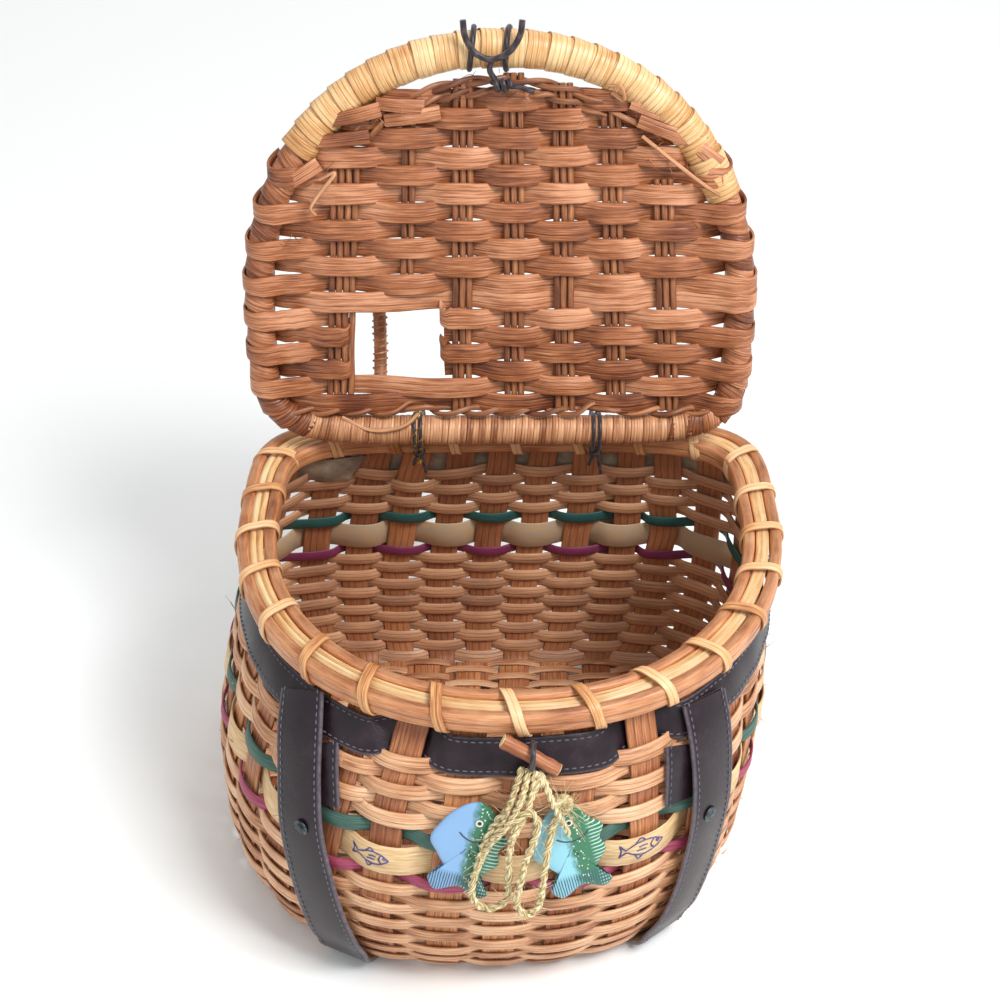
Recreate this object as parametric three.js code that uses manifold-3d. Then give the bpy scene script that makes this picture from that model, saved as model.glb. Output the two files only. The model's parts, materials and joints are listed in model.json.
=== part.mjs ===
// Wicker fishing creel: a D-shaped woven basket with a hinged, cane-bound lid, leather harness
// straps and a twig toggle with two wooden fish charms. Millimetres, +Z up, front towards -Y.

import * as THREE from 'three';
import { mergeVertices } from 'three/addons/utils/BufferGeometryUtils.js';
import Module from 'manifold-3d';

const wasm = await Module();
wasm.setup();

// Clearances
const gap = 0.3;
const strapEdgeRoom = 1.6;

// Basket body, measured to the middle of its woven wall
const rimHalfWidth = 131.5;
const rimFrontDepth = 149;
const rimBackDepth = 78;
const backSquareness = 5;
const rimHeight = 171;
const wallThickness = 4;
const ribRise = 0.6;
const stakeCount = 34;

// Rim hoops and their cane lashing
const reedHeight = 12;
const reedThickness = 6;
const fillerDiameter = 6;
const lashCount = 24;
const lashWidth = 6;
const lashThickness = 1.1;
const lashSlant = 9;
const lashSweep = 0.16;

// Leather
const leatherThickness = 2;
const strapWidth = 28;
const bandDrop = 10.2;
const bandHeight = 18;
const tailLength = 27;
const tailWidth = 22;
const rivetRadius = 4;
const rivetHeight = 1.6;

// Coloured strips woven round the belly, each so far below the rim
const stripThickness = 1.2;
const greenDrop = 61.4;
const greenWidth = 6;
const tanDrop = 74.5;
const tanWidth = 16;
const magentaDrop = 87.2;
const magentaWidth = 5.6;

// Lid
const lidHalfWidth = 127.5;
const lidLength = 207;
const lidShoulder = 68;
const lidShift = -5;
const hingeInset = 18;
const lidSquareness = 6;
const lidLean = 10;
const frameRadius = 7;
const panelThickness = 5;
const panelFootGap = 4;
const spokeThickness = 2;
const lidRest = 1.2;
const windowWidth = 52;
const windowHeight = 38;
const windowCentreX = -56;
const windowCentreUp = 50;

// Carrying loop on the outside of the lid
const loopRadius = 4;
const loopFoot = 13;
const loopHead = 92;
const loopStandOff = 20;
const loopX = -66;

// Cords
const tieDiameter = 2.4;
const tiePlaces = [-50, 48];
const tieSlack = 1;
const tieDip = 0.4;
const thongDiameter = 3;
const wrapPlaces = [-14, 4];
const knotRadius = 3.6;
const knotLength = 12;
const twineDiameter = 4;

// Toggle and charms
const toggleRadius = 3.5;
const toggleLength = 29;
const toggleDrop = 10;
const toggleX = 9;
const toggleDroop = THREE.MathUtils.degToRad(28);
const toggleStandOut = 0.2;
const charmThickness = 3;

// The wall from base to rim. height is a share of the rim height over the base, the others are
// shares of the half width, front depth, back depth and half width (shift).
const wallSections = [
  { height: 0.0, width: 0.96, front: 1.0, back: 0.95, squareness: 2.5, shift: -0.117 },
  { height: 0.05, width: 1.04, front: 1.08, back: 1.03, squareness: 2.5, shift: -0.114 },
  { height: 0.18, width: 1.085, front: 1.15, back: 1.09, squareness: 2.45, shift: -0.105 },
  { height: 0.38, width: 1.1, front: 1.185, back: 1.115, squareness: 2.4, shift: -0.09 },
  { height: 0.6, width: 1.075, front: 1.165, back: 1.1, squareness: 2.4, shift: -0.054 },
  { height: 0.8, width: 1.04, front: 1.095, back: 1.055, squareness: 2.35, shift: -0.025 },
  { height: 0.93, width: 1.004, front: 1.012, back: 1.01, squareness: 2.2, shift: -0.004 },
  { height: 1.0, width: 1.0, front: 1.0, back: 1.0, squareness: 2.15, shift: 0.0 },
];

// Harness straps down the front. height as above, left and right are the places of the strap's
// middle as shares of the rim's half width, and the stand columns are the room behind it in mm.
const strapDrop = [
  { height: 0.925, left: -0.745, right: 0.69, leftStand: 4.3, rightStand: 3.6 },
  { height: 0.84, left: -0.755, right: 0.715, leftStand: 4.4, rightStand: 4.2 },
  { height: 0.72, left: -0.76, right: 0.73, leftStand: 4.2, rightStand: 4.8 },
  { height: 0.6, left: -0.758, right: 0.73, leftStand: 4.4, rightStand: 4.6 },
  { height: 0.46, left: -0.735, right: 0.712, leftStand: 3.4, rightStand: 3.6 },
  { height: 0.32, left: -0.705, right: 0.687, leftStand: 2.2, rightStand: 2.4 },
  { height: 0.18, left: -0.665, right: 0.64, leftStand: 1.4, rightStand: 1.6 },
  { height: 0.1, left: -0.64, right: 0.6, leftStand: 1.4, rightStand: 1.4 },
];

// Places of the straps behind, as shares of the rim's half width, and the rows that they climb
const tailPlace = { left: -0.68, right: 0.62 };
const rivetRow = 0.6;
const strapBack = { left: -0.6, right: 0.46 };
const strapBackRows = [0.12, 0.25, 0.4, 0.55, 0.68, 0.8, 0.925];

// Outline of one fish charm, nose up, as shares of its length and width.
const charmOutline = [
  { along: 0.5, across: 0.02 },
  { along: 0.42, across: 0.2 },
  { along: 0.26, across: 0.34 },
  { along: 0.16, across: 0.48 },
  { along: 0.04, across: 0.4 },
  { along: -0.1, across: 0.44 },
  { along: -0.22, across: 0.3 },
  { along: -0.34, across: 0.2 },
  { along: -0.44, across: 0.42 },
  { along: -0.5, across: 0.3 },
  { along: -0.42, across: 0.02 },
  { along: -0.5, across: -0.28 },
  { along: -0.38, across: -0.4 },
  { along: -0.3, across: -0.2 },
  { along: -0.12, across: -0.36 },
  { along: 0.02, across: -0.5 },
  { along: 0.2, across: -0.42 },
  { along: 0.36, across: -0.28 },
  { along: 0.46, across: -0.12 },
];
const charmLength = 52;
const charmWidth = 36;
const charmRoom = 0.95;
const charmPlaces = {
  left: { x: -20, drop: 50, tilt: -14 },
  right: { x: 28, drop: 52, tilt: 14 },
};

// The jute twine's route from the toggle through both hanging loops to its frayed knot: x from
// the middle of the rim, drop below the toggle, and room in front of the wall.
const twineRoute = [
  { x: 13, drop: 6.8, room: 18.2 },
  { x: 12.5, drop: 11.4, room: 17.6 },
  { x: 9, drop: 16.7, room: 16 },
  { x: 2, drop: 22, room: 14 },
  { x: -5, drop: 29.1, room: 13 },
  { x: -11, drop: 39.7, room: 12.6 },
  { x: -15, drop: 52.9, room: 12.4 },
  { x: -18, drop: 65.3, room: 12.2 },
  { x: -17, drop: 75, room: 12 },
  { x: -10, drop: 79.5, room: 12 },
  { x: -3, drop: 75, room: 12.2 },
  { x: -1, drop: 63.6, room: 12.8 },
  { x: -1, drop: 49.4, room: 14 },
  { x: 1, drop: 34.4, room: 16.4 },
  { x: 3, drop: 25.5, room: 19 },
  { x: 8, drop: 20.7, room: 20.8 },
  { x: 12, drop: 24.7, room: 20.4 },
  { x: 11, drop: 34.4, room: 19 },
  { x: 7, drop: 45.9, room: 18 },
  { x: 4, drop: 60, room: 17.6 },
  { x: 3, drop: 72.4, room: 17.4 },
  { x: 8, drop: 78.6, room: 17.2 },
  { x: 13, drop: 72.4, room: 17 },
  { x: 15, drop: 58.2, room: 16 },
  { x: 17, drop: 44.1, room: 14.6 },
  { x: 20, drop: 31.7, room: 13.4 },
  { x: 24, drop: 22.9, room: 12.4 },
];

// Places worked out from the sizes above
const floorGap = leatherThickness + gap;
const wallRise = rimHeight - floorGap;
const skin = wallThickness / 2 + ribRise;
const reedBack = skin + gap + 1;
const reedFront = reedBack + reedThickness;
const reedFoot = rimHeight - reedHeight / 2;
const bandTop = rimHeight - bandDrop;
const toggleHeight = rimHeight - toggleDrop;
const greenHeight = rimHeight - greenDrop;
const tanHeight = rimHeight - tanDrop;
const magentaHeight = rimHeight - magentaDrop;
const fillerHeight = rimHeight + gap + fillerDiameter / 2;
const rimTop = fillerHeight + fillerDiameter / 2;
const lashTop = rimTop + gap + lashThickness;
const hingeHeight = lashTop + lidRest + frameRadius;
const hingeY = rimBackDepth - hingeInset;
const bandBack = skin + gap;
const bandFront = bandBack + leatherThickness;
const hoopPoints = 2 * stakeCount;

const finish = {
  weave: { color: 0xc98a5a, roughness: 0.62, metalness: 0 },
  reed: { color: 0xc98550, roughness: 0.55, metalness: 0 },
  filler: { color: 0xe8b868, roughness: 0.55, metalness: 0 },
  cane: { color: 0xe5b070, roughness: 0.5, metalness: 0 },
  lidWeave: { color: 0xa9673f, roughness: 0.6, metalness: 0 },
  leather: { color: 0x423742, roughness: 0.5, metalness: 0 },
  green: { color: 0x3e5f54, roughness: 0.6, metalness: 0 },
  tan: { color: 0xddb988, roughness: 0.65, metalness: 0 },
  magenta: { color: 0xa33c5c, roughness: 0.6, metalness: 0 },
  twig: { color: 0xa05f3c, roughness: 0.75, metalness: 0 },
  twine: { color: 0xc9b27a, roughness: 0.9, metalness: 0 },
  thong: { color: 0x2a2024, roughness: 0.6, metalness: 0 },
  rivet: { color: 0x3a4144, roughness: 0.35, metalness: 0.8 },
  charm: { color: 0x2f7a55, roughness: 0.45, metalness: 0 },
};

const creel = new THREE.Group();
const basket = new THREE.Group();
const lid = new THREE.Group();
creel.add(basket, lid);
lid.position.set(lidShift, hingeY, hingeHeight);
lid.rotation.x = THREE.MathUtils.degToRad(-lidLean);

function addPiece(parent, name, geometry, look) {
  const mesh = new THREE.Mesh(geometry, new THREE.MeshStandardMaterial(finish[look]));
  mesh.name = name;
  parent.add(mesh);
  return mesh;
}

// Geometry helpers

function meshFrom(points, faces) {
  const geometry = new THREE.BufferGeometry();
  geometry.setAttribute('position', new THREE.Float32BufferAttribute(points.flatMap((p) => p.toArray()), 3));
  geometry.setIndex(faces.flat());
  geometry.computeVertexNormals();
  return geometry;
}

function facingOut(points, faces) {
  let volume = 0;
  for (const [a, b, c] of faces) {
    volume += points[a].dot(new THREE.Vector3().crossVectors(points[b], points[c]));
  }
  return volume > 0 ? faces : faces.map(([a, b, c]) => [a, c, b]);
}

// Joins rings of equal point counts into one closed body. The ends are capped with fans, or the
// last ring runs on into the first.
function loft(rings, endless = false) {
  const size = rings[0].length;
  const points = rings.flat();
  const faces = [];
  const spans = endless ? rings.length : rings.length - 1;
  for (let r = 0; r < spans; r++) {
    const here = r * size;
    const next = ((r + 1) % rings.length) * size;
    for (let k = 0; k < size; k++) {
      const l = (k + 1) % size;
      faces.push([here + k, here + l, next + l], [here + k, next + l, next + k]);
    }
  }
  if (!endless) {
    for (const [ring, turned] of [[0, true], [rings.length - 1, false]]) {
      const centre = points.length;
      const sum = rings[ring].reduce((total, p) => total.add(p), new THREE.Vector3());
      points.push(sum.divideScalar(size));
      for (let k = 0; k < size; k++) {
        const a = ring * size + k;
        const b = ring * size + ((k + 1) % size);
        faces.push(turned ? [centre, b, a] : [centre, a, b]);
      }
    }
  }
  return meshFrom(points, facingOut(points, faces));
}

// A flat strip of the given width and thickness along stations. Each holds a point, and either
// the direction across the strip or, where it runs up or down a wall, the wall's outward one.
function ribbon(stations, width, thickness) {
  const rings = stations.map((station, i) => {
    const before = stations[Math.max(i - 1, 0)].point;
    const after = stations[Math.min(i + 1, stations.length - 1)].point;
    const along = new THREE.Vector3().subVectors(after, before).normalize();
    const upright = new THREE.Vector3(0, 0, Math.sign(along.z));
    const side = station.side ?? new THREE.Vector3().crossVectors(upright, station.out).normalize();
    const out = new THREE.Vector3().crossVectors(side, along).normalize();
    const left = side.clone().multiplyScalar(-width / 2);
    const right = side.clone().multiplyScalar(width / 2);
    const rise = out.multiplyScalar(thickness);
    return [
      station.point.clone().add(left),
      station.point.clone().add(right),
      station.point.clone().add(right).add(rise),
      station.point.clone().add(left).add(rise),
    ];
  });
  return loft(rings);
}

function polygon(sides, radiusX, radiusY = radiusX) {
  const shape = new THREE.Shape();
  for (let k = 0; k < sides; k++) {
    const turn = (2 * Math.PI * (k + 0.5)) / sides;
    const x = radiusX * Math.cos(turn);
    const y = radiusY * Math.sin(turn);
    if (k === 0) {
      shape.moveTo(x, y);
    } else {
      shape.lineTo(x, y);
    }
  }
  shape.closePath();
  return shape;
}

function tube(points, diameter, sides, steps) {
  const path = new THREE.CatmullRomCurve3(points, false, 'centripetal');
  return new THREE.ExtrudeGeometry(polygon(sides, diameter / 2), { extrudePath: path, steps });
}

function toSolid(geometry) {
  const bare = geometry.clone();
  bare.deleteAttribute('normal');
  bare.deleteAttribute('uv');
  const merged = mergeVertices(bare, 1e-4);
  return new wasm.Manifold(new wasm.Mesh({
    numProp: 3,
    vertProperties: new Float32Array(merged.attributes.position.array),
    triVerts: new Uint32Array(merged.index.array),
  }));
}

function fromSolid(solid) {
  const mesh = solid.getMesh();
  const geometry = new THREE.BufferGeometry();
  geometry.setAttribute('position', new THREE.BufferAttribute(new Float32Array(mesh.vertProperties), 3));
  geometry.setIndex(new THREE.BufferAttribute(new Uint32Array(mesh.triVerts), 1));
  geometry.computeVertexNormals();
  return geometry;
}

// The basket's plan and wall

function sectionAt(height) {
  const share = THREE.MathUtils.clamp((height - floorGap) / wallRise, 0, 1);
  let upper = wallSections.findIndex((row) => row.height >= share);
  upper = Math.max(upper, 1);
  const low = wallSections[upper - 1];
  const high = wallSections[upper];
  const t = (share - low.height) / (high.height - low.height);
  const mix = (column) => THREE.MathUtils.lerp(low[column], high[column], t);
  return {
    halfWidth: rimHalfWidth * mix('width'),
    front: rimFrontDepth * mix('front'),
    back: rimBackDepth * mix('back'),
    squareness: mix('squareness'),
    shift: rimHalfWidth * mix('shift'),
  };
}

// A point of the wall's plan at an angle round it, at a height, moved out from its middle.
function wallPoint(turn, height, out) {
  const s = sectionAt(height);
  const front = Math.sin(turn) < 0;
  const power = front ? s.squareness : backSquareness;
  const depth = (front ? s.front : s.back) + out;
  const across = Math.abs(Math.cos(turn)) / (s.halfWidth + out);
  const along = Math.abs(Math.sin(turn)) / depth;
  const reach = (across ** power + along ** power) ** (-1 / power);
  return new THREE.Vector3(reach * Math.cos(turn) + s.shift, reach * Math.sin(turn), height);
}

// Angles round the plan that are equally far apart along the rim, from the back's middle.
function evenTurns(count, start = Math.PI / 2) {
  const fine = 1440;
  const lengths = [0];
  const turnAt = (i) => start + (2 * Math.PI * i) / fine;
  for (let i = 1; i <= fine; i++) {
    const a = wallPoint(turnAt(i - 1), rimHeight, 0);
    const b = wallPoint(turnAt(i), rimHeight, 0);
    lengths.push(lengths[i - 1] + a.distanceTo(b));
  }
  const turns = [];
  for (let k = 0; k < count; k++) {
    const goal = (lengths[fine] * k) / count;
    const i = lengths.findIndex((length) => length > goal);
    const t = (goal - lengths[i - 1]) / (lengths[i] - lengths[i - 1]);
    turns.push(turnAt(i - 1 + t));
  }
  return turns;
}

const hoopTurns = evenTurns(hoopPoints);

// The angle between left and right ends at which the wall has the given x at a height.
function turnAtX(x, height, out, left, right) {
  let low = left;
  let high = right;
  for (let i = 0; i < 40; i++) {
    const middle = (low + high) / 2;
    if (wallPoint(middle, height, out).x < x) {
      low = middle;
    } else {
      high = middle;
    }
  }
  return (low + high) / 2;
}

const frontTurnAt = (x, height, out) => turnAtX(x, height, out, Math.PI, 2 * Math.PI);
const backTurnAt = (x, height, out) => turnAtX(x, height, out, Math.PI, 0);

function outwardAt(turn, height, out) {
  const step = 0.01;
  const a = wallPoint(turn - step, height, out);
  const b = wallPoint(turn + step, height, out);
  return new THREE.Vector3(b.y - a.y, a.x - b.x, 0).normalize();
}

function wallRing(height, out, rib = 0) {
  return hoopTurns.map((turn, k) => wallPoint(turn, height, out + (k % 2 ? -rib : rib)));
}

function makeWall() {
  const heights = wallSections.map((row) => floorGap + row.height * wallRise);
  const outer = heights.map((height) => wallRing(height, wallThickness / 2, ribRise));
  const floorTop = floorGap + wallThickness;
  const inner = heights.slice(1).reverse().map((height) => wallRing(height, -wallThickness / 2));
  inner.push(wallRing(floorTop, -wallThickness));
  return loft([...outer, ...inner]);
}

// A hoop that follows the rim, made from a section of [out, up] points.
function hoop(section, height) {
  const rings = hoopTurns.map((turn) => section.map(([out, up]) => wallPoint(turn, rimHeight, out)
    .setZ(height + up)));
  return loft(rings, true);
}

// A band that lies round the wall between two heights.
function wallBand(middle, width, thickness) {
  const low = middle - width / 2;
  const high = middle + width / 2;
  const back = skin + gap;
  const rings = hoopTurns.map((turn) => [
    wallPoint(turn, low, back),
    wallPoint(turn, low, back + thickness),
    wallPoint(turn, high, back + thickness),
    wallPoint(turn, high, back),
  ]);
  return loft(rings, true);
}

// Cuts box-shaped slots, each given by its middle and its size, out of a piece.
function cutSlots(geometry, slots) {
  const solids = slots.map(({ middle, size }) => {
    const box = new THREE.BoxGeometry(...size);
    box.translate(...middle);
    return toSolid(box);
  });
  return fromSolid(solids.reduce((left, slot) => left.subtract(slot), toSolid(geometry)));
}

// Slots under the rim that the hinge ties pass through
const tieSlots = tiePlaces.map((x) => ({
  middle: [x, rimBackDepth, reedFoot - 1.5 * tieDiameter],
  size: [3 * tieDiameter, 8 * wallThickness, 3 * tieDiameter],
}));
addPiece(basket, 'woven_wall', cutSlots(makeWall(), tieSlots), 'weave');

const halfRound = (side) => [
  [side * reedBack, -reedHeight / 2],
  [side * (reedBack + 0.7 * reedThickness), -0.36 * reedHeight],
  [side * reedFront, 0],
  [side * (reedBack + 0.7 * reedThickness), 0.36 * reedHeight],
  [side * reedBack, reedHeight / 2],
];
addPiece(basket, 'rim_reed_outer', hoop(halfRound(1), rimHeight), 'reed');
addPiece(basket, 'rim_reed_inner', hoop(halfRound(-1), rimHeight), 'reed');
addPiece(basket, 'rim_filler', hoop([
  [fillerDiameter / 2, 0],
  [0, fillerDiameter / 2],
  [-fillerDiameter / 2, 0],
  [0, -fillerDiameter / 2],
], fillerHeight), 'filler');

addPiece(basket, 'leather_band', wallBand(bandTop - bandHeight / 2, bandHeight, leatherThickness), 'leather');
addPiece(basket, 'green_strip', wallBand(greenHeight, greenWidth, stripThickness), 'green');
addPiece(basket, 'tan_strip', wallBand(tanHeight, tanWidth, stripThickness), 'tan');
addPiece(basket, 'magenta_strip', wallBand(magentaHeight, magentaWidth, stripThickness), 'magenta');

// How far the rim's hoops reach across, square to the rim, within one lashing's stretch.
function reachAcross(centre, out, along, place, offset) {
  let reach = 0;
  const step = 0.01;
  for (let turn = place - lashSweep; turn < place + lashSweep; turn += step) {
    const to = wallPoint(turn, rimHeight, offset).sub(centre);
    if (Math.abs(to.dot(along)) < lashWidth / 2 + lashSlant / 2) {
      reach = Math.max(reach, Math.sign(offset) * to.dot(out));
    }
  }
  return reach + 2 * gap;
}

// One cane lashing: a slanted band over the rim from under the outer reed to under the inner.
function makeLash(place) {
  const centre = wallPoint(place, rimHeight, 0).setZ(rimHeight);
  const out = outwardAt(place, rimHeight, 0);
  const along = new THREE.Vector3(-out.y, out.x, 0);
  const outer = reachAcross(centre, out, along, place, reedFront);
  const inner = reachAcross(centre, out, along, place, -reedFront);
  const cheek = 0.2 * reedThickness;
  const foot = 0.6 * reedThickness;
  const crown = fillerDiameter / 2;
  const profile = [
    [outer - foot, -reedHeight / 2 - gap],
    [outer - gap, -0.37 * reedHeight],
    [outer, 0.05 * reedHeight],
    [outer - cheek, 0.44 * reedHeight],
    [crown, rimTop + gap - rimHeight],
    [-crown, rimTop + gap - rimHeight],
    [-inner + cheek, 0.44 * reedHeight],
    [-inner, 0.05 * reedHeight],
    [-inner + gap, -0.37 * reedHeight],
    [-inner + foot, -reedHeight / 2 - gap],
  ];
  const stations = profile.map(([across, up], i) => {
    const slide = lashSlant * (0.5 - i / (profile.length - 1));
    const point = centre.clone().addScaledVector(out, across).addScaledVector(along, slide);
    return { point: point.setZ(rimHeight + up), side: along };
  });
  return ribbon(stations, lashWidth, lashThickness);
}

const lashTurns = evenTurns(lashCount);
lashTurns.forEach((turn, k) => {
  addPiece(basket, `rim_lash_${String(k + 1).padStart(2, '0')}`, makeLash(turn), 'cane');
});

// Harness straps: down the front, under the base and up the back. A strap turns under the base
// square to the wall's edge and then runs straight to the back.
const baseEdge = floorGap + wallSections[1].height * wallRise;

function strapTurnUnder(turn) {
  const out = outwardAt(turn, baseEdge, 0);
  const foot = wallPoint(turn, floorGap, skin + gap).setZ(floorGap - gap);
  const inner = foot.clone().addScaledVector(out, -strapWidth / 2);
  const side = new THREE.Vector3(-Math.abs(out.y), out.x * Math.sign(out.y), 0);
  return [
    { point: wallPoint(turn, baseEdge + 1, skin + strapEdgeRoom), side },
    { point: foot, side },
    { point: inner, side },
  ];
}

function strapStations(side) {
  const stations = strapDrop.map((row) => {
    const height = floorGap + row.height * wallRise;
    const room = skin + row[`${side}Stand`];
    const turn = frontTurnAt(rimHalfWidth * row[side], height, room);
    return { point: wallPoint(turn, height, room), out: outwardAt(turn, height, room), turn };
  });
  const backX = rimHalfWidth * strapBack[side];
  stations.push(...strapTurnUnder(stations.at(-1).turn));
  const behind = strapTurnUnder(backTurnAt(backX, floorGap, skin + gap)).reverse();
  stations.push(...behind);
  for (const share of strapBackRows) {
    const height = floorGap + share * wallRise;
    const room = share > 0.7 ? bandFront + gap : skin + stripThickness + 5 * gap;
    const turn = backTurnAt(backX, height, room);
    stations.push({ point: wallPoint(turn, height, room), out: outwardAt(turn, height, room) });
  }
  return stations;
}

for (const side of ['left', 'right']) {
  const stations = strapStations(side);
  addPiece(basket, `strap_${side}`, ribbon(stations, strapWidth, leatherThickness), 'leather');
}

// The lid: a bent hoop with a straight foot bar, and the woven panel inside it. In the lid's own
// frame x runs along the bar, z up the lid and y out through its back.
function lidReach(turn, inset) {
  const up = Math.sin(turn) > 0;
  const halfWidth = lidHalfWidth - inset;
  const depth = up ? lidLength - lidShoulder - inset : lidShoulder - inset;
  const power = up ? 2.15 : lidSquareness;
  const across = Math.abs(Math.cos(turn)) / halfWidth;
  const along = Math.abs(Math.sin(turn)) / depth;
  return (across ** power + along ** power) ** (-1 / power);
}

function lidPoint(turn, inset) {
  const reach = lidReach(turn, inset);
  return new THREE.Vector3(reach * Math.cos(turn), 0, lidShoulder + reach * Math.sin(turn));
}

function lidOutline(inset, count) {
  const points = [];
  for (let k = 0; k < count; k++) {
    points.push(lidPoint((2 * Math.PI * (k + 0.5)) / count, inset));
  }
  return points;
}

const lidPoints = 44;
addPiece(lid, 'lid_frame', loft(lidOutline(0, lidPoints).map((centre, k) => {
  const turn = (2 * Math.PI * (k + 0.5)) / lidPoints;
  const a = lidPoint(turn - 0.02, 0);
  const b = lidPoint(turn + 0.02, 0);
  const out = new THREE.Vector3(b.z - a.z, 0, a.x - b.x).normalize();
  return [0, 1, 2, 3, 4, 5, 6, 7].map((i) => {
    const spin = (2 * Math.PI * i) / 8;
    return centre.clone().addScaledVector(out, frameRadius * Math.cos(spin))
      .setY(frameRadius * Math.sin(spin));
  });
}), true), 'cane');

// The woven panel, with the rectangular window that is torn through it
function makePanel() {
  const inset = frameRadius + gap;
  const outline = lidOutline(inset, lidPoints).map((p) => new THREE.Vector2(p.x, p.z));
  const foot = frameRadius + panelFootGap;
  const shape = new THREE.Shape(outline.map((p) => new THREE.Vector2(p.x, Math.max(p.y, foot))));
  const window = new THREE.Path();
  const left = windowCentreX - windowWidth / 2;
  const low = windowCentreUp - windowHeight / 2;
  window.moveTo(left, low);
  window.lineTo(left, low + windowHeight);
  window.lineTo(left + windowWidth, low + windowHeight);
  window.lineTo(left + windowWidth, low);
  window.closePath();
  shape.holes.push(window);
  const panel = new THREE.ExtrudeGeometry(shape, { depth: panelThickness, bevelEnabled: false });
  panel.translate(0, 0, -panelThickness / 2);
  panel.rotateX(Math.PI / 2);
  const notchDepth = thongDiameter + 4 * gap;
  return cutSlots(panel, wrapPlaces.map((x) => ({
    middle: [x, 0, lidLength - frameRadius - notchDepth / 2],
    size: [thongDiameter + 4 * gap, 2 * panelThickness, notchDepth + 2],
  })));
}

addPiece(lid, 'lid_panel', makePanel(), 'lidWeave');

// Groups of round spokes that stand on the panel's inner face, by place and reeds in each group
const spokeGroups = [
  { x: -88, reeds: 4, low: 0.06, high: 0.74 },
  { x: -52, reeds: 2, low: 0.42, high: 0.86 },
  { x: -21, reeds: 3, low: 0.06, high: 0.93 },
  { x: 8, reeds: 3, low: 0.06, high: 0.945 },
  { x: 36, reeds: 3, low: 0.06, high: 0.92 },
  { x: 64, reeds: 3, low: 0.06, high: 0.85 },
  { x: 93, reeds: 3, low: 0.06, high: 0.68 },
];
const reedPitch = 3.6;

spokeGroups.forEach((group, k) => {
  const low = lidLength * group.low;
  const high = lidLength * group.high;
  const spokes = new THREE.BoxGeometry(group.reeds * reedPitch, spokeThickness, high - low);
  spokes.translate(group.x, -panelThickness / 2 - gap - spokeThickness / 2, (low + high) / 2);
  addPiece(lid, `lid_spokes_${k + 1}`, spokes, 'lidWeave');
});

// The carrying loop behind the panel
function makeLoop() {
  const face = panelThickness / 2 + gap;
  const rise = loopHead - loopFoot;
  const route = [
    [face, loopFoot],
    [face + loopRadius, loopFoot],
    [face + loopStandOff, loopFoot + 0.25 * rise],
    [face + loopStandOff, loopFoot + 0.75 * rise],
    [face + loopRadius, loopHead],
    [face, loopHead],
  ];
  return tube(route.map(([back, up]) => new THREE.Vector3(loopX, back, up)), 2 * loopRadius, 8, 14);
}

addPiece(lid, 'lid_loop', makeLoop(), 'cane');

// A closed cord ring through a list of [y, z] corners in the plane of one x.
function cordRing(x, corners, diameter, steps) {
  const points = corners.map(([y, z]) => new THREE.Vector3(x, y, z));
  const route = new THREE.CatmullRomCurve3(points, true, 'centripetal');
  const rings = [];
  for (let k = 0; k < steps; k++) {
    const along = route.getTangentAt(k / steps);
    const out = new THREE.Vector3(0, along.z, -along.y).multiplyScalar(diameter / 2);
    rings.push([0, 1, 2, 3, 4, 5].map((i) => {
      const spin = (Math.PI * i) / 3;
      const point = route.getPointAt(k / steps).addScaledVector(out, Math.cos(spin));
      return point.setX(x + (diameter / 2) * Math.sin(spin));
    }));
  }
  return loft(rings, true);
}

// Cord ties that hold the lid's foot bar to the back rim, through the slots in the wall
tiePlaces.forEach((x, k) => {
  const room = tieDiameter / 2 + gap;
  const front = rimBackDepth - reedFront - room - tieSlack;
  const back = rimBackDepth + reedFront + room + tieSlack;
  const low = reedFoot - room - tieDip;
  const bar = frameRadius + room + tieDip;
  addPiece(basket, `hinge_tie_${k + 1}`, cordRing(x, [
    [front, rimHeight - 0.25 * reedHeight],
    [front + 0.6 * reedThickness, low],
    [rimBackDepth, low - tieDip],
    [back - reedThickness, low],
    [back, rimHeight],
    [back - tieSlack, rimTop],
    [back - reedThickness, lashTop + 2 * tieDiameter],
    [hingeY + Math.SQRT1_2 * bar, hingeHeight + Math.SQRT1_2 * bar],
    [hingeY, hingeHeight + bar],
    [hingeY - Math.SQRT1_2 * bar, hingeHeight + Math.SQRT1_2 * bar],
    [hingeY - bar, hingeHeight - tieSlack],
    [hingeY - 0.75 * bar, hingeHeight - 0.75 * bar],
  ], tieDiameter, 18), 'thong');
});

// Closure cord on the lid's front edge: two turns round the frame, a loop and a knot
wrapPlaces.forEach((x, k) => {
  const bar = frameRadius + thongDiameter / 2 + 4 * gap;
  const corners = [];
  for (let i = 0; i < 8; i++) {
    const spin = (2 * Math.PI * i) / 8;
    corners.push([bar * Math.cos(spin), lidLength + bar * Math.sin(spin)]);
  }
  addPiece(lid, `closure_turn_${k + 1}`, cordRing(x, corners, thongDiameter, 10), 'thong');
});

function makeClosureLoop() {
  const face = -frameRadius - 2 * gap - 1.5 * thongDiameter - 0.4;
  const route = [
    [-18, lidLength + 16],
    [-17, lidLength + 8],
    [-12, lidLength],
    [-4, lidLength - 3],
    [5, lidLength + 1],
    [10, lidLength + 9],
    [11, lidLength + 16],
  ];
  return tube(route.map(([x, up]) => new THREE.Vector3(x, face, up)), thongDiameter, 6, 14);
}

function makeKnot(radius, length) {
  const knot = new THREE.SphereGeometry(radius, 8, 6);
  knot.rotateX(Math.PI / 2);
  knot.scale(length / (2 * radius), 1, 1);
  return knot;
}

addPiece(lid, 'closure_loop', makeClosureLoop(), 'thong');
const closureKnot = addPiece(lid, 'closure_knot', makeKnot(knotRadius, knotLength), 'thong');
const spokeFace = panelThickness / 2 + gap + spokeThickness;
closureKnot.position.set(1, -spokeFace - gap - knotRadius, 0.92 * lidLength);

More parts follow.
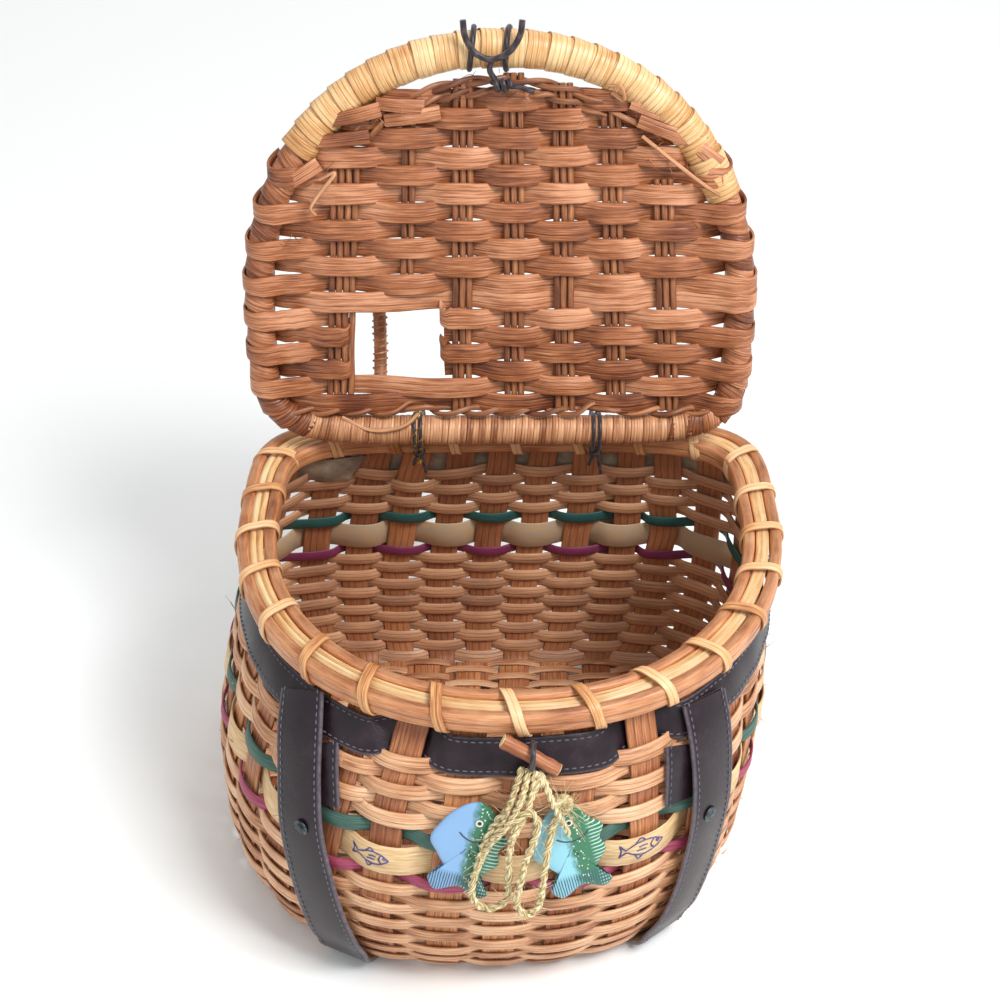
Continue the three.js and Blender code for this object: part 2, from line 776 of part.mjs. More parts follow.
// Strap tails folded back behind the straps, and the rivets that hold them
for (const side of ['left', 'right']) {
  const rows = [0, 0.35, 0.7, 1].map((share) => bandTop - bandHeight - 4 * gap - share * tailLength);
  const room = skin + gap;
  const stations = rows.map((height) => {
    const turn = frontTurnAt(rimHalfWidth * tailPlace[side], height, room);
    return { point: wallPoint(turn, height, room), out: outwardAt(turn, height, room) };
  });
  addPiece(basket, `strap_tail_${side}`, ribbon(stations, tailWidth, leatherThickness), 'leather');
}

for (const side of ['left', 'right']) {
  const row = strapDrop.find((each) => each.height === rivetRow);
  const height = floorGap + row.height * wallRise;
  const room = skin + row[`${side}Stand`] + leatherThickness + gap;
  const turn = frontTurnAt(rimHalfWidth * row[side], height, room);
  const profile = [
    new THREE.Vector2(0, 0),
    new THREE.Vector2(rivetRadius, 0),
    new THREE.Vector2(rivetRadius, 0.4 * rivetHeight),
    new THREE.Vector2(0.6 * rivetRadius, rivetHeight),
    new THREE.Vector2(0, rivetHeight),
  ];
  const rivet = addPiece(basket, `rivet_${side}`, new THREE.LatheGeometry(profile, 12), 'rivet');
  rivet.position.copy(wallPoint(turn, height, room));
  rivet.quaternion.setFromUnitVectors(new THREE.Vector3(0, 1, 0), outwardAt(turn, height, room));
}

// The twig toggle under the rim's front, and the thong that ties it to the leather band
const frontAt = (x, height, room) => wallPoint(frontTurnAt(x, height, room), height, room);
const toggleRoom = reedFront + toggleRadius + lashThickness + 12 * gap;
const toggle = addPiece(basket, 'toggle_twig', new THREE.CylinderGeometry(
  toggleRadius,
  0.92 * toggleRadius,
  toggleLength,
  10,
), 'twig');
toggle.position.copy(frontAt(toggleX, rimHeight, toggleRoom)).setZ(toggleHeight);
const toggleLine = new THREE.Vector3(1, -toggleStandOut, -Math.tan(toggleDroop)).normalize();
toggle.quaternion.setFromUnitVectors(new THREE.Vector3(0, 1, 0), toggleLine);

function makeToggleThong() {
  const middle = toggle.position;
  const ring = toggleRadius / Math.cos(toggleDroop) + thongDiameter / 2 + 3 * gap;
  const bandFace = frontAt(toggleX, toggleHeight - 12, bandFront + gap + 0.4);
  const route = [
    [bandFace.y, toggleHeight - 12],
    [bandFace.y - 3, toggleHeight - 11],
    [middle.y, toggleHeight - ring],
    [middle.y - 0.8 * ring, toggleHeight - 0.6 * ring],
    [middle.y - ring, toggleHeight + 0.2 * ring],
    [middle.y - 0.5 * ring, toggleHeight + 0.9 * ring],
  ];
  return tube(route.map(([y, z]) => new THREE.Vector3(middle.x, y, z)), thongDiameter, 6, 12);
}
addPiece(basket, 'toggle_thong', makeToggleThong(), 'thong');

// Jute twine with two painted wooden fish
const twinePoints = twineRoute.map((row) => frontAt(row.x, toggleHeight - row.drop, row.room));
addPiece(basket, 'jute_twine', tube(twinePoints, twineDiameter, 8, 40), 'twine');

const charmShape = new THREE.Shape(charmOutline.map((row) => new THREE.Vector2(
  row.across * charmWidth,
  row.along * charmLength,
)));

for (const [side, place] of Object.entries(charmPlaces)) {
  const geometry = new THREE.ExtrudeGeometry(charmShape, { depth: charmThickness, bevelEnabled: false });
  const room = skin + stripThickness + charmRoom;
  const height = toggleHeight - place.drop;
  const top = frontAt(place.x, height + charmLength / 2, room);
  const foot = frontAt(place.x, height - charmLength / 2, room);
  const charm = addPiece(basket, `fish_charm_${side}`, geometry, 'charm');
  const up = new THREE.Vector3().subVectors(top, foot).normalize();
  const away = outwardAt(frontTurnAt(place.x, height, room), height, room);
  const across = new THREE.Vector3().crossVectors(up, away).normalize();
  const face = new THREE.Vector3().crossVectors(across, up);
  charm.quaternion.setFromRotationMatrix(new THREE.Matrix4().makeBasis(across, up, face));
  charm.rotateZ(THREE.MathUtils.degToRad(place.tilt));
  charm.position.copy(frontAt(place.x, height, room));
}

// The origin is on the floor under the middle of the object's box, measured without the twine and
// the charms on it.
creel.updateMatrixWorld(true);
const standing = new THREE.Box3();
creel.traverse((piece) => {
  if (piece.isMesh && !/^(jute_twine|fish_charm)/.test(piece.name)) {
    standing.expandByObject(piece, true);
  }
});
const middle = standing.getCenter(new THREE.Vector3());
creel.position.set(-middle.x, -middle.y, 0);

export default creel;
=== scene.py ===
"""Dresses the wicker creel: woven walls, bound lid, leather harness, toggle and charms."""

import json
import math

import bpy
import numpy as np
from bpy.props import FloatProperty, FloatVectorProperty, IntProperty, PointerProperty
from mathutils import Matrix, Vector


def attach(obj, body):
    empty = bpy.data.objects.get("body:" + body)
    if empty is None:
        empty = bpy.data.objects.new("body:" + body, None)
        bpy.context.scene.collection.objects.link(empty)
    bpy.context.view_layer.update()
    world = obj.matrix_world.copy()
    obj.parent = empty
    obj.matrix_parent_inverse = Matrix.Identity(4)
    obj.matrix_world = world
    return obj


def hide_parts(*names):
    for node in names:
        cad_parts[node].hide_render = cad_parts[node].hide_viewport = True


bl_info = {
    "name": "Wicker fishing creel",
    "version": (1, 0, 0),
    "blender": (4, 5, 0),
    "location": "View3D > Sidebar > Creel",
    "description": "Weaves and finishes a lidded wicker creel over its solid model",
    "category": "Object",
}

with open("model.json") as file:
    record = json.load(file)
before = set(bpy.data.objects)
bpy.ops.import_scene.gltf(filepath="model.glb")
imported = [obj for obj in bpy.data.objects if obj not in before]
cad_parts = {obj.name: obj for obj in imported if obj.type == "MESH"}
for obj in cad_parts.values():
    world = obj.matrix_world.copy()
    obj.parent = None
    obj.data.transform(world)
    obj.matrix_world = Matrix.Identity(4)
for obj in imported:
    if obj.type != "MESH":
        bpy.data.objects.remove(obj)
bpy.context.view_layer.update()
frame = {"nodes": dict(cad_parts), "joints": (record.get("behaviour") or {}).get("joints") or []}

# The solid model's sizes in millimetres. x is from the middle of the rim, y is 0 at the widest
# line of the basket and grows towards the back, and z is the height over the floor.
MM = 0.001
LID_SHIFT, HINGE_Y, HINGE_HEIGHT = -5.0, 60.0, 186.9
LID_LEAN = math.radians(10)
ORIGIN = np.array(frame["joints"][0]["pos_m"]) / MM - (LID_SHIFT, HINGE_Y, HINGE_HEIGHT)
RIM_HALF, RIM_FRONT, RIM_BACK = 131.5, 149.0, 78.0
BACK_SQUARENESS = 5.0
LID_SQUARENESS = 6.0
RIM_HEIGHT = 171.0
FLOOR_GAP = 2.3
WALL_RISE = RIM_HEIGHT - FLOOR_GAP
SKIN = 2.6
BAND_TOP, BAND_HEIGHT = 160.8, 18.0
STRAP_WIDTH, STRAP_THICK, TAIL_WIDTH = 28.0, 2.0, 22.0
FILLER_HEIGHT = 173.9
ROD_WIDTH = 14.0
REED_MIDDLE = 6.9
LID_HALF, LID_LENGTH, LID_SHOULDER = 127.5, 207.0, 68.0
LID_OUT = np.array([0.0, 1.0, 0.0])

# height share, then width, front, back as shares of the rim's, squareness, and shift as a share
# of the rim's half width
WALL = np.array([
    (0.0, 0.96, 1.0, 0.95, 2.5, -0.117),
    (0.05, 1.04, 1.08, 1.03, 2.5, -0.114),
    (0.18, 1.085, 1.15, 1.09, 2.45, -0.105),
    (0.38, 1.1, 1.185, 1.115, 2.4, -0.09),
    (0.6, 1.075, 1.165, 1.1, 2.4, -0.054),
    (0.8, 1.04, 1.095, 1.055, 2.35, -0.025),
    (0.93, 1.004, 1.012, 1.01, 2.2, -0.004),
    (1.0, 1.0, 1.0, 1.0, 2.15, 0.0),
])

# Where the stakes stand in front and behind, as x at belly height, and how many fill each side
FRONT_STAKES = [-82, -56, -25, 2, 31, 63, 91]
BACK_STAKES = [116, 91.5, 69.7, 42.7, 16.3, -8.3, -33, -59.4, -83, -107.6]
RIGHT_STAKES, LEFT_STAKES = 7, 8
BELLY = 120.0

# Rows of the wall: height and whether the row passes outside the odd stakes
LOOSE_ROWS = [(145, 1), (138.2, 0), (131.4, 1), (124.4, 0), (117.2, 1)]
TIGHT_ROWS = [(77.6 - 6.35 * k, 1 - k % 2) for k in range(12)]
# The coloured strips: height, width, and the same
STRIP_ROWS = {
    "green_strip": (109.8, 7.4, 0),
    "tan_strip": (96.6, 17, 1),
    "magenta_strip": (84.4, 6.6, 0),
}

# Harness straps: height share, place of each strap's middle as a share of the rim's half width,
# and the room behind it
STRAP_DROP = np.array([
    (0.925, -0.745, 0.69, 4.3, 3.6),
    (0.84, -0.755, 0.715, 4.4, 4.2),
    (0.72, -0.76, 0.73, 4.2, 4.8),
    (0.6, -0.758, 0.73, 4.4, 4.6),
    (0.46, -0.735, 0.712, 3.4, 3.6),
    (0.32, -0.705, 0.687, 2.2, 2.4),
    (0.18, -0.665, 0.64, 1.4, 1.6),
    (0.1, -0.64, 0.6, 1.4, 1.4),
])
STRAP_BACK = {"left": -0.6, "right": 0.46}
STRAP_BACK_ROWS = [0.12, 0.25, 0.4, 0.55, 0.68, 0.8, 0.925]
TAIL_PLACE = {"left": -0.68, "right": 0.62}
RIVET_ROW = 0.6

SPOKES = [
    # place, reeds in the group, foot, head
    (-88, 4, 12, 153), (-52, 2, 88, 178), (-21, 3, 12, 192), (8, 3, 12, 195),
    (36, 3, 12, 190), (64, 3, 12, 176), (93, 3, 12, 141),
]
WINDOW = (-82, -30, 31, 69)
# where cords tie the lid's bar, along the back of the rim
TIES = (-50, 48)

TWINE_ROUTE = [
    (13, 154.2, 18.2), (12.5, 149.6, 17.6), (9, 144.3, 16), (2, 139, 14), (-5, 131.9, 13),
    (-11, 121.3, 12.6), (-15, 108.1, 12.4), (-18, 95.7, 12.2), (-17, 86, 12), (-10, 81.5, 12),
    (-3, 86, 12.2), (-1, 97.4, 12.8), (-1, 111.6, 14), (1, 126.6, 16.4), (3, 135.5, 19),
    (8, 140.3, 20.8), (12, 136.3, 20.4), (11, 126.6, 19), (7, 115.1, 18), (4, 101, 17.6),
    (3, 88.6, 17.4), (8, 82.4, 17.2), (13, 88.6, 17), (15, 102.8, 16), (17, 116.9, 14.6),
    (20, 129.3, 13.4), (24, 138.1, 12.4),
]


# Points on the basket and the lid


def xyz(*parts):
    """Points from their x, y and z, each of which may be a single number."""
    return np.stack(np.broadcast_arrays(*parts), -1)


def run_along(points):
    """How far along a line each of its points is."""
    return np.concatenate([[0], np.cumsum(np.linalg.norm(np.diff(points, axis=0), axis=1))])


def wall_point(turn, height, out=0.0):
    """Points of the wall at an angle round it and a height, moved out from its middle."""
    turn, height, out = np.broadcast_arrays(turn, height, out)
    share = np.clip((height - FLOOR_GAP) / WALL_RISE, 0, 1)
    heights, *columns = WALL.T
    width, front, back, power, shift = (np.interp(share, heights, each) for each in columns)
    c, s = np.cos(turn), np.sin(turn)
    ahead = s < 0
    power = np.where(ahead, power, BACK_SQUARENESS)
    depth = np.where(ahead, front * RIM_FRONT, back * RIM_BACK) + out
    across = np.abs(c) / (width * RIM_HALF + out)
    along = np.abs(s) / depth
    reach = (across ** power + along ** power) ** (-1 / power)
    return xyz(reach * c + shift * RIM_HALF, reach * s, height)


def wall_normal(turn, height, upright=False):
    """Outward directions of the wall, square to its slope or level."""
    step = 0.01
    along = wall_point(turn + step, height) - wall_point(turn - step, height)
    up = np.broadcast_to([0.0, 0.0, 1.0], along.shape)
    if not upright:
        up = wall_point(turn, np.asarray(height) + 2) - wall_point(turn, np.asarray(height) - 2)
    return unit(np.cross(along, up))


def unit(vectors):
    """The same directions with a length of one."""
    return vectors / np.maximum(np.linalg.norm(vectors, axis=-1, keepdims=True), 1e-9)


def turn_at(x, height, out=0.0, behind=False):
    """The angle at which the wall's front or back has the given x."""
    low, high = (math.pi, 0.0) if behind else (math.pi, math.tau)
    for _ in range(40):
        middle = (low + high) / 2
        if wall_point(middle, height, out)[0] < x:
            low = middle
        else:
            high = middle
    return (low + high) / 2


def spread_turns(start, end, count):
    """Angles that divide the belly between two others into even lengths."""
    fine = np.linspace(start, end, 600)
    lengths = run_along(wall_point(fine, BELLY))
    return list(np.interp(np.linspace(0, lengths[-1], count + 2)[1:-1], lengths, fine))


def stake_turns():
    front = [turn_at(x, BELLY) for x in FRONT_STAKES]
    back = [turn_at(x, BELLY, behind=True) + math.tau for x in BACK_STAKES]
    right = spread_turns(front[-1], back[0], RIGHT_STAKES)
    left = spread_turns(back[-1], front[0] + math.tau, LEFT_STAKES)
    return np.array(front + right + back + left)


STAKES = stake_turns()
STAKE_COUNT = len(STAKES)


def turn_of(place):
    """The angle at a place counted in stakes, which need not be whole."""
    place = np.asarray(place, float)
    turns = np.concatenate([STAKES, [STAKES[0] + math.tau]])
    return np.interp(place % STAKE_COUNT, np.arange(STAKE_COUNT + 1), turns)


def from_lid(points, directions=False):
    """Turns points of the lid's own plane, x along its bar, y out of its back and z up it."""
    points = np.asarray(points, float)
    c, s = math.cos(LID_LEAN), math.sin(LID_LEAN)
    x, y, z = points[..., 0], points[..., 1], points[..., 2]
    turned = xyz(x, y * c + z * s, z * c - y * s)
    return turned if directions else turned + (LID_SHIFT, HINGE_Y, HINGE_HEIGHT)


def lid_rim(turn, inset=0.0):
    """Points on the lid's outline, in the lid's own plane."""
    c, s = np.cos(turn), np.sin(turn)
    up = s > 0
    depth = np.where(up, LID_LENGTH - LID_SHOULDER - inset, LID_SHOULDER - inset)
    power = np.where(up, 2.15, LID_SQUARENESS)
    across, along = np.abs(c) / (LID_HALF - inset), np.abs(s) / depth
    reach = (across ** power + along ** power) ** (-1 / power)
    return xyz(reach * c, 0.0, LID_SHOULDER + reach * s)


def lid_half_width(up, inset):
    """How far the lid reaches to each side at a height on it."""
    rise = up - LID_SHOULDER
    depth = LID_LENGTH - LID_SHOULDER - inset if rise > 0 else LID_SHOULDER - inset
    power = 2.15 if rise > 0 else LID_SQUARENESS
    share = min(abs(rise) / depth, 1)
    return (LID_HALF - inset) * (1 - share ** power) ** (1 / power)


def smooth_path(points, spacing):
    """A smooth line through points, with steps of about the given length."""
    points = np.asarray(points, float)
    span = np.linalg.norm(np.diff(points, axis=0), axis=1) ** 0.5
    knots = np.concatenate([[0], np.cumsum(span)])
    slopes = np.gradient(points, knots, axis=0)
    steps = max(4, int(round(np.sum(span ** 2) / spacing)))
    lengths = np.concatenate([[0], np.cumsum(span ** 2)])
    at = np.interp(np.linspace(0, lengths[-1], steps + 1), lengths, knots)
    i = np.clip(np.searchsorted(knots, at, side="right") - 1, 0, len(knots) - 2)
    h = (knots[i + 1] - knots[i])[:, None]
    t = ((at - knots[i]) / (knots[i + 1] - knots[i]))[:, None]
    return (
        points[i] * (2 * t ** 3 - 3 * t ** 2 + 1) + h * slopes[i] * (t ** 3 - 2 * t ** 2 + t)
        + points[i + 1] * (3 * t ** 2 - 2 * t ** 3) + h * slopes[i + 1] * (t ** 3 - t ** 2)
    )


def look_up(at, marks, rows):
    """Rows of three numbers, read between the marks at which they are given."""
    return np.stack([np.interp(at, marks, rows[:, k]) for k in range(3)], -1)


def tangents(points, closed=False):
    if closed:
        return unit(np.roll(points, -1, 0) - np.roll(points, 1, 0))
    return unit(np.gradient(points, axis=0))


def drift(count, amount, seed, waves=5, closed=False):
    """A slow, seeded wander along a line."""
    rng = np.random.default_rng(seed)
    t = np.linspace(0, 1, count, endpoint=not closed)
    total = np.zeros(count)
    for k in range(1, waves + 1):
        total += rng.normal() / k ** 0.5 * np.sin(math.tau * (k * t + rng.random()))
    return amount * total / 2


# Strands: lines with a facing direction, which a node tree sweeps into reeds, leather and cord


def strand(points, lay, girth=1.0, tint=0.5, closed=False):
    """A line with its facing direction made square to it, its thickness share and its shade."""
    points = np.asarray(points, float)
    lay = np.broadcast_to(lay, points.shape)
    along = tangents(points, closed)
    lay = unit(lay - along * np.sum(lay * along, 1, keepdims=True))
    girth = np.broadcast_to(np.asarray(girth, float), len(points))
    return {"points": points, "lay": lay, "girth": girth, "tint": tint, "closed": closed}


def round_strand(points, girth=1.0, tint=0.5, closed=False):
    """A strand whose facing direction turns as little as it can."""
    points = np.asarray(points, float)
    along = tangents(points, closed)
    facing = unit(np.cross(along[0], [0.31, 0.52, 0.79]))
    lay = []
    for direction in along:
        facing = unit(facing - direction * np.dot(facing, direction))
        lay.append(facing)
    return strand(points, np.array(lay), girth, tint, closed)


def guide(name, strands):
    """A mesh of bare edges that carries the strands' lines and directions."""
    points = np.concatenate([s["points"] for s in strands])
    edges, start = [], 0
    for s in strands:
        count = len(s["points"])
        run = np.arange(start, start + count)
        edges.append(np.stack([run[:-1], run[1:]], 1))
        if s["closed"]:
            edges.append([[run[-1], run[0]]])
        start += count
    edges = np.concatenate(edges)
    mesh = bpy.data.meshes.new(name)
    mesh.vertices.add(len(points))
    mesh.vertices.foreach_set("co", ((points + ORIGIN) * MM).astype(np.float32).ravel())
    mesh.edges.add(len(edges))
    mesh.edges.foreach_set("vertices", edges.astype(np.int32).ravel())
    for label, kind, field in (
        ("lay", "FLOAT_VECTOR", "vector"), ("girth", "FLOAT", "value"), ("tint", "FLOAT", "value"),
    ):
        values = np.concatenate([
            s[label] if kind == "FLOAT_VECTOR" else np.broadcast_to(s[label], len(s["points"]))
            for s in strands
        ])
        made = mesh.attributes.new(label, kind, "POINT")
        made.data.foreach_set(field, values.astype(np.float32).ravel())
    made = bpy.data.objects.new(name, mesh)
    bpy.context.scene.collection.objects.link(made)
    return made


def add(tree, kind, inputs=None, **settings):
    """Adds a node with its settings, and sets or links its inputs."""
    made = tree.nodes.new(kind)
    for name, value in settings.items():
        setattr(made, name, value)
    for key, value in (inputs or {}).items():
        if isinstance(value, bpy.types.NodeSocket):
            tree.links.new(value, made.inputs[key])
        else:
            made.inputs[key].default_value = value
    return made


def start_tree(name, inputs):
    """A geometry tree with named inputs, each a (name, kind, default)."""
    tree = bpy.data.node_groups.new(name, "GeometryNodeTree")
    tree.interface.new_socket("Geometry", in_out="INPUT", socket_type="NodeSocketGeometry")
    for label, kind, default in inputs:
        socket = tree.interface.new_socket(label, in_out="INPUT", socket_type=kind)
        if default is not None:
            socket.default_value = default
    tree.interface.new_socket("Geometry", in_out="OUTPUT", socket_type="NodeSocketGeometry")
    return tree, add(tree, "NodeGroupInput").outputs


def reckon(tree, operation, *values):
    """The result of a maths node."""
    return add(tree, "ShaderNodeMath", dict(enumerate(values)), operation=operation).outputs[0]


def end_tree(tree, geometry, material):
    """Ends a geometry tree with plain, smooth geometry that has its material."""
    real = add(tree, "GeometryNodeRealizeInstances", {"Geometry": geometry})
    smooth = add(tree, "GeometryNodeSetShadeSmooth", {"Geometry": real.outputs["Geometry"]})
    dressed = add(tree, "GeometryNodeSetMaterial", {
        "Geometry": smooth.outputs["Geometry"], "Material": material,
    })
    add(tree, "NodeGroupOutput", {"Geometry": dressed.outputs["Geometry"]})
    return tree


def sweep_tree():
    """Sweeps a rounded section along each strand, and keeps where a point lies on it."""
    tree, given = start_tree("sweep_strands", [
        ("Width", "NodeSocketFloat", 0.005),
        ("Thickness", "NodeSocketFloat", 0.001),
        ("Rounding", "NodeSocketFloat", 0.8),
        ("Corner Points", "NodeSocketInt", 1),
        ("Material", "NodeSocketMaterial", None),
    ])
    lay = add(tree, "GeometryNodeInputNamedAttribute", {"Name": "lay"}, data_type="FLOAT_VECTOR")
    girth = add(tree, "GeometryNodeInputNamedAttribute", {"Name": "girth"})
    line = add(tree, "GeometryNodeMeshToCurve", {"Mesh": given["Geometry"]})
    faced = add(tree, "GeometryNodeSetCurveNormal", {
        "Curve": line.outputs["Curve"], "Normal": lay.outputs["Attribute"],
    }, mode="FREE")
    length = add(tree, "GeometryNodeSplineParameter").outputs["Length"]
    marked = add(tree, "GeometryNodeStoreNamedAttribute", {
        "Geometry": faced.outputs["Curve"], "Name": "along", "Value": length,
    })
    section = add(tree, "GeometryNodeCurvePrimitiveQuadrilateral", {
        "Width": given["Thickness"], "Height": given["Width"],
    })
    # a corner of just under half the thickness leaves the section closed
    half = reckon(tree, "MULTIPLY", given["Thickness"], 0.499)
    filleted = add(tree, "GeometryNodeFilletCurve", {
        "Curve": section.outputs["Curve"], "Count": given["Corner Points"],
        "Radius": reckon(tree, "MULTIPLY", half, given["Rounding"]), "Limit Radius": True,
    }, mode="POLY")
    point = add(tree, "GeometryNodeInputPosition").outputs[0]
    place = add(tree, "ShaderNodeSeparateXYZ", {"Vector": point}).outputs
    section = filleted.outputs["Curve"]
    for label, axis, size in (("across", "Y", "Width"), ("face", "X", "Thickness")):
        section = add(tree, "GeometryNodeStoreNamedAttribute", {
            "Geometry": section, "Name": label,
            "Value": reckon(tree, "DIVIDE", place[axis], given[size]),
        }).outputs["Geometry"]
    swept = add(tree, "GeometryNodeCurveToMesh", {
        "Curve": marked.outputs["Geometry"], "Profile Curve": section,
        "Scale": girth.outputs["Attribute"], "Fill Caps": True,
    })
    return end_tree(tree, swept.outputs["Mesh"], given["Material"])


def stitch_tree():
    """Lays short rounded stitches end to end along each strand."""
    tree, given = start_tree("lay_stitches", [
        ("Pitch", "NodeSocketFloat", 0.0034),
        ("Length", "NodeSocketFloat", 0.0024),
        ("Thickness", "NodeSocketFloat", 0.0007),
        ("Material", "NodeSocketMaterial", None),
    ])
    lay = add(tree, "GeometryNodeInputNamedAttribute", {"Name": "lay"}, data_type="FLOAT_VECTOR")
    line = add(tree, "GeometryNodeMeshToCurve", {"Mesh": given["Geometry"]})
    even = add(tree, "GeometryNodeResampleCurve", {
        "Curve": line.outputs["Curve"], "Length": given["Pitch"],
    }, mode="LENGTH")
    tangent = add(tree, "GeometryNodeInputTangent").outputs[0]
    turn = add(tree, "FunctionNodeAxesToRotation", {
        "Primary Axis": tangent, "Secondary Axis": lay.outputs["Attribute"],
    }, primary_axis="X", secondary_axis="Z")
    bead = add(tree, "GeometryNodeMeshUVSphere", {"Segments": 6, "Rings": 4, "Radius": 0.5})
    size = add(tree, "ShaderNodeCombineXYZ", {
        "X": given["Length"], "Y": given["Thickness"], "Z": given["Thickness"],
    })
    shaped = add(tree, "GeometryNodeTransform", {
        "Geometry": bead.outputs["Mesh"], "Scale": size.outputs["Vector"],
    })
    laid = add(tree, "GeometryNodeInstanceOnPoints", {
        "Points": even.outputs["Curve"], "Instance": shaped.outputs["Geometry"],
        "Rotation": turn.outputs["Rotation"],
    })
    return end_tree(tree, laid.outputs["Instances"], given["Material"])


TREES = {"sweep_strands": sweep_tree, "lay_stitches": stitch_tree}


def grow(name, strands, tree_name, values, body, replaced=()):
    """Runs a geometry tree on strands and turns the result into a plain piece of the object."""
    tree = bpy.data.node_groups.get(tree_name) or TREES[tree_name]()
    source = guide(name + "_guide", strands)
    modifier = source.modifiers.new(tree_name, "NODES")
    modifier.node_group = tree
    items = tree.interface.items_tree
    sockets = {item.name: item.identifier for item in items if item.in_out == "INPUT"}
    for label, value in values.items():
        modifier[sockets[label]] = value
    depsgraph = bpy.context.evaluated_depsgraph_get()
    mesh = bpy.data.meshes.new_from_object(source.evaluated_get(depsgraph), depsgraph=depsgraph)
    if not mesh.polygons:
        raise RuntimeError(f"{name}: the tree {tree_name} made no faces")
    for spare in ("lay", "girth"):
        if spare in mesh.attributes:
            mesh.attributes.remove(mesh.attributes[spare])
    mesh.name = name
    bare = source.data
    bpy.data.objects.remove(source)
    bpy.data.meshes.remove(bare)
    return settle(name, mesh, body, replaced)


def settle(name, mesh, body, replaced=()):
    """Puts a finished mesh in the scene as a piece that rides on a body."""
    made = bpy.data.objects.new(name, mesh)
    bpy.context.scene.collection.objects.link(made)
    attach(made, body)
    if replaced:
        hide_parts(*replaced)
    return made


def reeds(
    name, strands, finish, body, slot, replaced=(), width=1.0, thick=None, rounding=0.8, corner=1,
):
    """Sweeps strands of the given section, in millimetres, round where no thickness is given.
    The lid's strands are given in its own plane."""
    if thick is None:
        thick, rounding = width, 1.0
    if body == "lid":
        to_world_strands(strands)
    return grow(name, strands, "sweep_strands", {
        "Width": width * MM, "Thickness": thick * MM, "Rounding": rounding,
        "Corner Points": corner, "Material": finish_of(finish),
    }, body, replaced)


# Finishes


def linear(colour):
    """Turns an sRGB hex value into a linear colour."""
    parts = [int(colour[i:i + 2], 16) / 255 for i in (1, 3, 5)]
    return [c / 12.92 if c <= 0.04045 else ((c + 0.055) / 1.055) ** 2.4 for c in parts] + [1.0]


class Finish:
    """A material in the making, with short calls for the nodes that it needs."""

    def __init__(self, name, middle, roughness):
        self.material = bpy.data.materials.new(name)
        self.material.use_nodes = True
        self.material.diffuse_color = linear(middle)
        self.tree = self.material.node_tree
        self.tree.nodes.clear()
        self.shader = self.node("ShaderNodeBsdfPrincipled", {
            "Base Color": linear(middle), "Roughness": roughness,
        })
        self.node("ShaderNodeOutputMaterial", {"Surface": self.shader.outputs["BSDF"]})

    def node(self, kind, inputs=None, **settings):
        return add(self.tree, kind, inputs, **settings)

    def stored(self, *names):
        """What the sweep stored on a piece, such as the place along each strand."""
        made = [self.node("ShaderNodeAttribute", attribute_name=name) for name in names]
        return [each.outputs["Fac"] for each in made]

    def maths(self, operation, *values):
        return reckon(self.tree, operation, *values)

    def times(self, value, factor):
        return self.maths("MULTIPLY", value, factor)

    def weighed(self, *pairs):
        """The sum of values times their weights."""
        parts = [self.times(*pair) for pair in pairs]
        total = parts[0]
        for part in parts[1:]:
            total = self.maths("ADD", total, part)
        return total

    def off(self, value, middle):
        return self.maths("SUBTRACT", value, middle)

    def place(self, x, y, z=0.0):
        return self.node("ShaderNodeCombineXYZ", {"X": x, "Y": y, "Z": z}).outputs[0]

    def own_place(self):
        return self.node("ShaderNodeTexCoord").outputs["Object"]

    def noise(self, place, scale, detail=2.0, roughness=0.5):
        return self.node("ShaderNodeTexNoise", {
            "Vector": place, "Scale": scale, "Detail": detail, "Roughness": roughness,
        }).outputs["Fac"]

    def cells(self, place, scale):
        made = self.node("ShaderNodeTexVoronoi", {"Vector": place, "Scale": scale})
        return made.outputs["Distance"]

    def vector(self, operation, *values):
        return self.node("ShaderNodeVectorMath", dict(enumerate(values)), operation=operation)

    def ramp(self, factor, *stops):
        """A ramp through (place, value) stops, whose values are hex colours or shares."""
        made = self.node("ShaderNodeValToRGB", {"Fac": factor})
        while len(made.color_ramp.elements) < len(stops):
            made.color_ramp.elements.new(0.5)
        for element, (place, value) in zip(made.color_ramp.elements, stops):
            element.position = place
            element.color = linear(value) if isinstance(value, str) else (value, value, value, 1)
        return made.outputs["Color"]

    def blend(self, factor, low, high, mode="MIX"):
        if isinstance(high, str):
            high = linear(high)
        # a colour mix has its two colours in sockets 6 and 7 and gives output 2
        return self.node(
            "ShaderNodeMix", {0: factor, 6: low, 7: high}, data_type="RGBA", blend_type=mode,
        ).outputs[2]

    def done(self, colour=None, relief=None, roughness=None, constants=()):
        """Links the colour, the relief as (height, strength, distance in m) and the roughness."""
        sockets = self.shader.inputs
        if relief:
            height, strength, distance = relief
            bump = self.node("ShaderNodeBump", {
                "Height": height, "Strength": strength, "Distance": distance,
            })
            self.tree.links.new(bump.outputs["Normal"], sockets["Normal"])
        for value, socket in ((colour, "Base Color"), (roughness, "Roughness")):
            if value:
                self.tree.links.new(value, sockets[socket])
        for name, value in dict(constants).items():
            sockets[name].default_value = value
        return self.material


